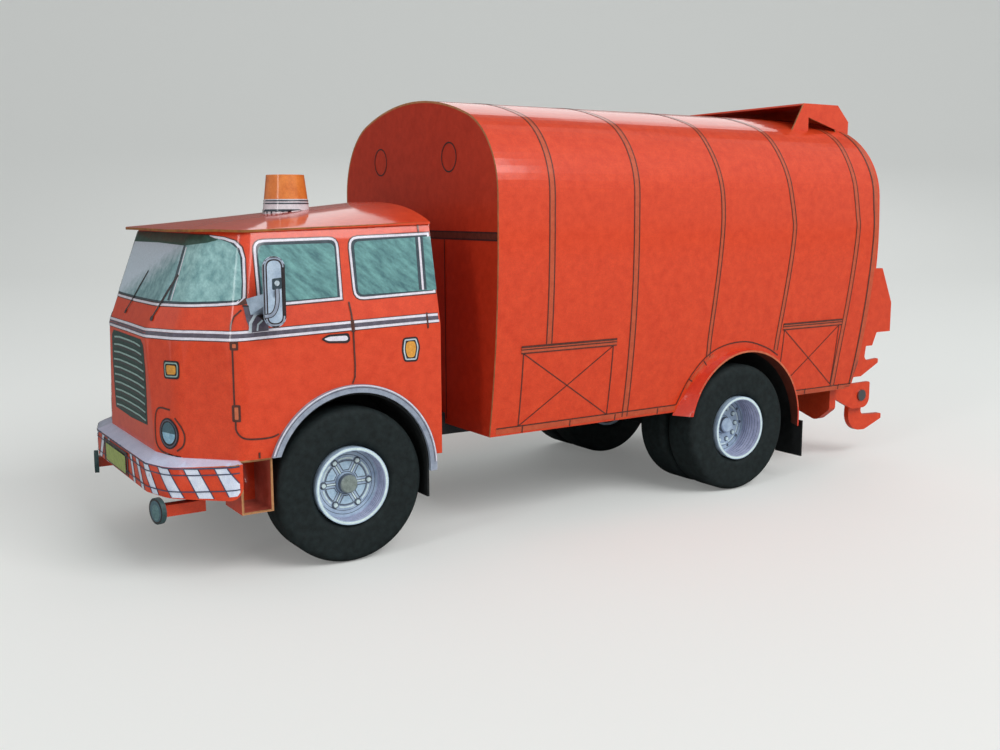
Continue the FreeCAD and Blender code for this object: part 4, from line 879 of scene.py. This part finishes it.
# Wall behind the cab: band, two upright seams and two round blanks
wall_print = Print(merged_copy("body_front_wall"))
for level in (70.2, 68.5):
    wall_print.stroke(from_front, [(38.9, level), (-38.9, level)], 0.35, black_ink, 1, both=False,
        step=3)
wall_print.fill(from_front, [(38.9, 70.2), (-38.9, 70.2), (-38.9, 68.5), (38.9, 68.5)], line_ink, 0,
    both=False, step=4)
wall_print.stroke(from_front, ring(17.85, 87.7, 3.4, steps=40), 0.32, black_ink, 1, closed=True)
wall_print.stroke(from_front, [(15.3, 68.3), (15.3, 24.2)], 0.3, black_ink, 1, step=3)
wall_print.piece("front_wall_prints")

# Rear wall: tailgate seam, a line across it and two hinge straps on each side
rear_print = Print(merged_copy("body_rear_wall"))
rear_print.draw(from_behind,
    (rounded([(33.5, 28), (33.5, 90), (-33.5, 90), (-33.5, 28)], 6), 0.35, line_ink, 1, True),
    ([(34, 61.5), (-34, 61.5)], 0.35, line_ink, 1), both=False, step=2)
for x in (12.0, 25.0):
    strap = tablet(x - 1, x + 1, 57.5, 65.5, 0.8)
    rear_print.draw(from_behind, (strap, rib_ink, 1), (strap, 0.28, line_ink, 2, True))
rear_print.piece("rear_wall_prints")

# Arch rings in front: a pale line along the outer edge, a painted highlight where the edge catches
# the light, and a dark line inside
trim_print = Print(merged_copy("front_arch_trim_left"))
for radius, wide, ink in ((19.5, 0.25, white_ink), (19.1, 0.15, slate_ink)):
    trim_print.stroke(from_left, ring(*FRONT_ARCH, radius, first=178, last=20, steps=60), wide, ink,
        0)
trim_print.piece("front_arch_prints")


# Wheels: trees make the tyres and repeat what goes round the hub; sizes in millimetres

def grower(name, **sockets):
    """Empty geometry tree with a geometry output and one named input per socket."""
    tree = bpy.data.node_groups.new(name, "GeometryNodeTree")
    tree.interface.new_socket("Geometry", in_out="OUTPUT", socket_type="NodeSocketGeometry")
    for socket, kind in sockets.items():
        tree.interface.new_socket(socket, in_out="INPUT", socket_type="NodeSocket" + kind)
    return tree, tree.nodes.new("NodeGroupInput").outputs, tree.nodes.new("NodeGroupOutput")


def grown(name, tree, inputs, seat, body, replaces=()):
    """Piece that a tree makes from its named inputs, set in its place."""
    carrier = put("carrier", bpy.data.meshes.new("carrier"))
    modifier = carrier.modifiers.new("grow", "NODES")
    modifier.node_group = tree
    for item in tree.interface.items_tree:
        if item.in_out == "INPUT":
            modifier[item.identifier] = inputs[item.name]
    mesh = plain_mesh(carrier)
    mesh.transform(Matrix.Scale(MM, 4) @ seat)
    return as_piece(name, mesh, (), body, replaces)


def seated(x, y, side):
    """Turns an upright axis to the wheel's axle, pointing outwards on its side."""
    return Matrix.Translation((x + FRONT_AXLE, y, AXLE_Z)) @ Matrix.Rotation(math.radians(-90 *
        side), 4, "X")


# Tyre of glued card rings: a rounded section turned round the axle
tyre_tree, tyre_in, tyre_out = grower("turned_tyre", Radius="Float", Bore="Float", Width="Float",
    Shoulder="Float", Around="Int")
depth = reckon(tyre_tree, "SUBTRACT", tyre_in["Radius"], tyre_in["Bore"])
middle = reckon(tyre_tree, "ADD", tyre_in["Radius"], tyre_in["Bore"])
mean = reckon(tyre_tree, "MULTIPLY", middle, 0.5)
section = add(tyre_tree, "GeometryNodeCurvePrimitiveQuadrilateral",
    [("Width", depth), ("Height", tyre_in["Width"])])
soft = add(tyre_tree, "GeometryNodeFilletCurve", [("Curve", section),
    ("Radius", tyre_in["Shoulder"])], mode="POLY", Count=6)
path = add(tyre_tree, "GeometryNodeCurvePrimitiveCircle", [("Radius", mean),
    ("Resolution", tyre_in["Around"])])
swept = add(tyre_tree, "GeometryNodeCurveToMesh", [("Curve", path),
    ("Profile Curve", soft)])
rounded_off = add(tyre_tree, "GeometryNodeSetShadeSmooth", [("Geometry", swept)])
one_tyre = add(tyre_tree, "GeometryNodeRealizeInstances", [("Geometry", rounded_off)])
blackened = add(tyre_tree, "GeometryNodeSetMaterial", [("Geometry", one_tyre)],
    Material=tyre_card)
tyre_tree.links.new(blackened.outputs[0], tyre_out.inputs[0])

# A figure cut from thin card, repeated at even turns round the hub
hub_tree, hub_in, hub_out = grower("round_the_hub", Figure="Object", Count="Int", Ink="Material")
figure_in = add(hub_tree, "GeometryNodeObjectInfo", [("Object", hub_in["Figure"])])
hub_points = add(hub_tree, "GeometryNodePoints", [("Count", hub_in["Count"])])
turn_index = add(hub_tree, "GeometryNodeInputIndex")
full_turn = reckon(hub_tree, "MULTIPLY", turn_index, 2 * math.pi)
share_turn = reckon(hub_tree, "DIVIDE", full_turn, hub_in["Count"])
turned = add(hub_tree, "ShaderNodeCombineXYZ", [("Z", share_turn)])
repeated = add(hub_tree, "GeometryNodeInstanceOnPoints", [("Points", hub_points),
    ("Instance", figure_in.outputs["Geometry"]), ("Rotation", turned)])
real = add(hub_tree, "GeometryNodeRealizeInstances", [("Geometry", repeated)])
hub_ink = add(hub_tree, "GeometryNodeSetMaterial", [("Geometry", real),
    ("Material", hub_in["Ink"])])
hub_tree.links.new(hub_ink.outputs[0], hub_out.inputs[0])


def figure(shapes):
    """Flat shapes made into thin plates; a shape is its outline, foot height and top height."""
    plates = bmesh.new()
    for outline, low, high in shapes:
        foot, top = ([plates.verts.new((x, y, z)) for x, y in outline] for z in (low, high))
        plates.faces.new(foot[::-1])
        plates.faces.new(top)
        for i in range(len(outline)):
            plates.faces.new((foot[i - 1], foot[i], top[i], top[i - 1]))
    bmesh.ops.recalc_face_normals(plates, faces=plates.faces)
    return put("figure", settled("figure", plates))


def bar(start, end, half):
    """Straight bar that points away from the hub."""
    return [(start, -half), (end, -half), (end, half), (start, half)]


def between_spokes(inner, outer, clear, spokes=6, steps=8):
    """Sector between two spokes that keeps clear of both by one distance."""
    outline = []
    for radius, way in ((outer, 1), (inner, -1)):
        first = math.asin(clear / radius)
        last = 2 * math.pi / spokes - first
        turns = [first + (last - first) * i / steps for i in range(steps + 1)]
        outline += [(radius * math.cos(a), radius * math.sin(a)) for a in turns][::way]
    return outline


def turned_rim(name, zones, seat, body, replaces, steps=96):
    """Rim turned round the axle; a zone is a radius, a height along the axle and the ink from
    there to the next zone."""
    inks = list(dict.fromkeys([ink for _, _, ink in zones]))
    work = bmesh.new()
    rings = []
    for radius, out, _ in zones:
        turns = [2 * math.pi * i / steps for i in range(steps if radius else 1)]
        rings.append([work.verts.new((radius * math.cos(a), radius * math.sin(a), out)) for a in
            turns])
    for k, (_, _, ink) in enumerate(zones):
        near, far = rings[k], rings[(k + 1) % len(rings)]
        for i in range(steps):
            j = (i + 1) % steps
            corners = [near[i % len(near)], near[j % len(near)], far[j % len(far)],
                far[i % len(far)]]
            corners = list(dict.fromkeys(corners))
            if len(corners) > 2:
                face = work.faces.new(corners)
                face.material_index = inks.index(ink)
                face.smooth = True
    bmesh.ops.recalc_face_normals(work, faces=work.faces)
    mesh = settled(name, work)
    mesh.set_sharp_from_angle(angle=math.radians(25))
    mesh.transform(Matrix.Scale(MM, 4) @ seat)
    return as_piece(name, mesh, inks, body, replaces)


LIP, RIM_RADIUS, WALL_RADIUS, PIN_RADIUS = 5.3, 8.5, 7.7, 1.46


def zones_of(disc, back, wall_lines, disc_lines, cap):
    """Zones of a dished rim: one pale band on its lip, fine lines down its wall and on its
    disc, a stepped hub with its cap and the blind hole of the axle pin behind."""
    zones = [(RIM_RADIUS, back, rim_card), (RIM_RADIUS, LIP, rim_card), (8.32, LIP, rim_light),
        (7.85, LIP, rim_card), (WALL_RADIUS, LIP, rim_wall)]
    for out in wall_lines:
        zones += [(WALL_RADIUS, out + 0.12, rim_line), (WALL_RADIUS, out, rim_wall)]
    zones.append((WALL_RADIUS, disc, rim_card))
    for radius in disc_lines:
        zones += [(radius + 0.14, disc, rim_line), (radius, disc, rim_card)]
    return zones + [(2.55, disc, rim_line), (2.4, disc, rim_card), (2.2, disc + 0.7, rim_line),
        (2.0, disc + 1.6, cap), (1.75, disc + 1.9, cap), (0, disc + 1.9, rim_card),
        (0, disc + 1.3, rim_card), (PIN_RADIUS, disc + 1.3, rim_card),
        (PIN_RADIUS, disc - 1.0, rim_card), (WALL_RADIUS, disc - 1.0, rim_card),
        (WALL_RADIUS, back, rim_card)]


FRONT_DISC, REAR_DISC = 1.6, -1.2
FRONT_NUTS, REAR_NUTS = 5.35, 4.4
spoke_dark = figure([(between_spokes(2.75, 4.95, 0.75), FRONT_DISC, FRONT_DISC + 0.04),
    (bar(2.4, 4.6, 0.3), FRONT_DISC, FRONT_DISC + 0.05), (ring(FRONT_NUTS, 0, 0.85, steps=18),
    FRONT_DISC, FRONT_DISC + 0.06)])
spoke_panel = figure([(between_spokes(2.95, 4.72, 0.95), FRONT_DISC, FRONT_DISC + 0.08)])
spoke_pale = figure([(bar(2.5, 4.5, 0.15), FRONT_DISC, FRONT_DISC + 0.09),
    (between_spokes(5.3, 5.65, 1.15), FRONT_DISC, FRONT_DISC + 0.08),
    (ring(FRONT_NUTS, 0, 0.5, steps=6), FRONT_DISC, FRONT_DISC + 0.45)])
rear_dark = figure([(ring(REAR_NUTS, 0, 0.72, steps=14), REAR_DISC, REAR_DISC + 0.05),
    (ring(6.4, 0, 0.4, steps=12), REAR_DISC, REAR_DISC + 0.05)])
rear_pale = figure([(ring(REAR_NUTS, 0, 0.5, steps=6), REAR_DISC, REAR_DISC + 0.5),
    (between_spokes(5.35, 5.7, 0.5, spokes=10, steps=4), REAR_DISC, REAR_DISC + 0.08)])
TYRE = {"Radius": 17.0, "Bore": 8.6, "Width": 10.0, "Shoulder": 1.7, "Around": 120}

for side, word in ((1, "left"), (-1, "right")):
    seats = {}
    for tyre, axle_body in (
            ("front_" + word, "front_"),
            ("rear_" + word + "_outer", "rear_"),
            ("rear_" + word + "_inner", "rear_")):
        low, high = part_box("tyre_" + tyre)
        seats[tyre] = seated((low[0] + high[0]) / 2 / MM - FRONT_AXLE, (low[1] + high[1]) / 2 / MM,
            side)
        grown("tyre_rings_" + tyre, tyre_tree, TYRE, seats[tyre], "wheel_" + axle_body + word,
            ("tyre_" + tyre,))
    front, rear = "wheel_front_" + word, "wheel_rear_" + word
    front_seat, rear_seat = seats["front_" + word], seats["rear_" + word + "_outer"]
    turned_rim("front_rim_" + word, zones_of(FRONT_DISC, -5.0, (4.3, 3.5, 2.8, 2.2),
        (6.9, 6.1, 5.0), hub_cap), front_seat, front, ("rim_front_" + word,))
    turned_rim("rear_rim_" + word, zones_of(REAR_DISC, -16.4, (4.2, 3.1, 2.1, 1.2, 0.4, -0.4),
        (7.0, 5.9), rim_card), rear_seat, rear, ("rim_rear_" + word,))
    for name, drawn, count, ink, seat, turning in (
            ("front_spoke_lines_", spoke_dark, 6, rim_line, front_seat, front),
            ("front_spoke_panels_", spoke_panel, 6, rim_panel, front_seat, front),
            ("front_nuts_", spoke_pale, 6, rim_light, front_seat, front),
            ("rear_nut_rings_", rear_dark, 10, rim_line, rear_seat, rear),
            ("rear_nuts_", rear_pale, 10, rim_light, rear_seat, rear)):
        grown(name + word, hub_tree, {"Figure": drawn, "Count": count, "Ink": ink}, seat, turning)
for drawn in (spoke_dark, spoke_panel, spoke_pale, rear_dark, rear_pale):
    bpy.data.objects.remove(drawn)

# Mirrors: dark rim, grey ring, clamp and the printed end of the arm. The outer face lies a
# hair further in than in the CAD, so that its print stays inside the truck's width
MIRROR_FACE, MIRROR_TUCK = 41.45, 0.2
for word in ("left", "right"):
    mirror = shell_piece("mirror_face_" + word, "mirror_" + word, (mirror_card, mirror_card),
        thin=2.6)
    for vertex in mirror.data.vertices:
        if abs(vertex.co.y) > MIRROR_FACE * MM:
            vertex.co.y -= math.copysign(MIRROR_TUCK * MM, vertex.co.y)
    if word == "left":
        mirror_print = Print(mirror.data)
MIRROR, MIRROR_HALF, MIRROR_TALL = (17.6, 59.6), 2.3, 7.0


def mirror_oval(shrink):
    """Outline of the mirror's face, drawn in by a distance."""
    x, z = MIRROR
    half, tall = MIRROR_HALF - shrink, MIRROR_TALL - shrink
    return tablet(x + half, x - half, z + tall, z - tall, half * 0.98, steps=8)


ARM_LINE = curved([(17.1, 60.2), (17.1, 58.0), (17.5, 56.2), (18.4, 55.1), (19.85, 54.9)])
mirror_print.draw(from_left,
    (mirror_oval(0.02), black_ink, 0),
    (mirror_oval(0.42), 0.3, grey_card, 1, True),
    ([(15.72, 64.4), (15.72, 54.8)], 0.5, black_ink, 2),
    (mirror_oval(0.85), mirror_card, 1),
    (rounded([(18.1, 62.2), (16.1, 62.4), (16.1, 60.2), (18.1, 60.0)], 0.3), recess_ink, 2),
    (ring(17.1, 61.3, 0.55, steps=12), frame_ink, 3),
    (ARM_LINE, 0.95, black_ink, 2),
    (ARM_LINE, 0.6, grey_card, 3))
mirror_print.piece("mirror_prints")

# Driving lamps: dark rim round the glass that is printed on the turned disc
lamp_print = Print(merged_copy("driving_lamps"))
lamp_print.draw(from_lamp,
    (ring(0, 0, 2.6, steps=32), black_ink, -0.4),
    (ring(0, 0, 2.2, steps=32), lamp_shade_ink, 0),
    (ring(0.1, -0.2, 1.5, 1.7, steps=24), lamp_card, 0.4))
lamp_print.piece("driving_lamp_prints")

# Beacon: two fine lines round the top of its foot band, a thick one lower and its teeth
beacon_print = Print(merged_copy("beacon_band"))
for level, wide in ((77.6, 0.3), (77.0, 0.3), (75.4, 0.5)):
    beacon_print.stroke(round_beacon, [(u, level) for u in range(0, 360, 12)], wide, recess_ink, 1,
        closed=True, both=False)
for u in range(0, 360, 15):
    beacon_print.stroke(round_beacon, [(u, 75.4), (u, 74.7)], 0.45, recess_ink, 1, both=False)
beacon_print.piece("beacon_prints")


# Camera at the photo's place, pale floor and soft light; the lamps' places are in metres

def turn_towards(ahead, roll):
    """Directions to the right and up for a camera that looks ahead with a roll."""
    right = ahead.cross(Vector((0, 0, 1))).normalized()
    up = right.cross(ahead)
    turned = right * math.cos(roll) + up * math.sin(roll)
    return turned, up * math.cos(roll) - right * math.sin(roll)


LENS, SENSOR, ROLL = 39.23, 36.0, math.radians(-0.27)
CAMERA_PLACE = (96.66 + FRONT_AXLE, 245.39, 75.70)
camera = put("camera", bpy.data.cameras.new("camera"))
camera.data.lens = LENS
camera.data.sensor_width = SENSOR
camera.data.clip_start = 0.005
ahead = Vector((-0.53607, -0.83049, -0.15141)).normalized()
sideways, upward = turn_towards(ahead, ROLL)
axes = (sideways, upward, -ahead, Vector(CAMERA_PLACE) * MM)
camera.matrix_world = Matrix([[axis[i] for axis in axes] for i in range(3)] + [[0, 0, 0, 1]])
SCENE.camera = camera

# Pale board that runs away from the camera and curves up behind the truck, in metres. The camera
# alone sees it a little brighter than the lamps make it, and the card's gloss mirrors it darker
FLOOR, FLOOR_SEEN, FLOOR_MIRRORED, FLOOR_GLOW = "DDDFDD", "F4F6F4", "7E8280", 0.16
floor_material, floor_tree, floor_shader, _ = finish_of("pale_studio_board",
    {"Roughness": 0.8, "Base Color": linear(FLOOR), "Emission Color": linear(FLOOR_SEEN)})
seen = add(floor_tree, "ShaderNodeLightPath")
glow = reckon(floor_tree, "MULTIPLY", seen.outputs["Is Camera Ray"], FLOOR_GLOW)
floor_tree.links.new(glow.outputs[0], floor_shader.inputs["Emission Strength"])
mirrored = add(floor_tree, "ShaderNodeMix", [(0, seen.outputs["Is Glossy Ray"])], data_type="RGBA")
mirrored.inputs[6].default_value = linear(FLOOR)
mirrored.inputs[7].default_value = linear(FLOOR_MIRRORED)
floor_tree.links.new(mirrored.outputs[2], floor_shader.inputs["Base Color"])
SWEEP_NEAR, SWEEP_START, SWEEP_RADIUS, SWEEP_TOP = -2.5, 0.9, 1.1, 3.0
SWEEP_HALF, SWEEP_STEPS, FLOOR_DROP = 4.0, 24, 0.0001
turns = [math.radians(90 * i / SWEEP_STEPS) for i in range(SWEEP_STEPS + 1)]
section = [(SWEEP_NEAR, 0.0)] + [(SWEEP_START + SWEEP_RADIUS * math.sin(a),
    SWEEP_RADIUS * (1 - math.cos(a))) for a in turns]
section.append((SWEEP_START + SWEEP_RADIUS, SWEEP_TOP))
away = Vector((ahead.x, ahead.y, 0)).normalized()
beside = Vector((away.y, -away.x, 0))
floor_spots = [away * far + beside * wide + Vector((0, 0, high - FLOOR_DROP))
    for far, high in section for wide in (-SWEEP_HALF, SWEEP_HALF)]
floor_mesh = bpy.data.meshes.new("floor")
floor_mesh.from_pydata(floor_spots, [], [(2 * i, 2 * i + 1, 2 * i + 3, 2 * i + 2) for i in
    range(len(section) - 1)])
floor_mesh.polygons.foreach_set("use_smooth", [True] * len(floor_mesh.polygons))
floor_mesh.materials.append(floor_material)
floor = put("floor", floor_mesh)


def soft_lamp(name, place_m, target_m, size, power):
    """Wide lamp that shines on a target and that the camera doesn't see."""
    light = bpy.data.lights.new(name, "AREA")
    light.shape = "RECTANGLE"
    light.size, light.size_y = size
    light.energy = power
    lamp = put(name, light)
    lamp.location = place_m
    way = (Vector(target_m) - Vector(place_m)).normalized()
    lamp.rotation_euler = way.to_track_quat("-Z", "Y").to_euler()
    lamp.visible_camera = False


soft_lamp("key_window", (-0.25, 0.95, 0.85), (0, 0, 0.05), (0.9, 0.7), 10.5)
soft_lamp("front_strip", (0.78, 0.33, 0.36), (0.08, 0, 0.05), (0.1, 0.6), 1.2)
soft_lamp("far_panel", (-0.76, -0.97, 0.66), (-0.04, 0.03, 0.09), (1.0, 0.6), 2.1)
world = bpy.data.worlds.new("studio")
SCENE.world = world
world.use_nodes = True
world_back = world.node_tree.nodes["Background"]
world_back.inputs["Color"].default_value = linear("F2F4F4")
world_back.inputs["Strength"].default_value = 0.5
SCENE.view_settings.view_transform = "Standard"
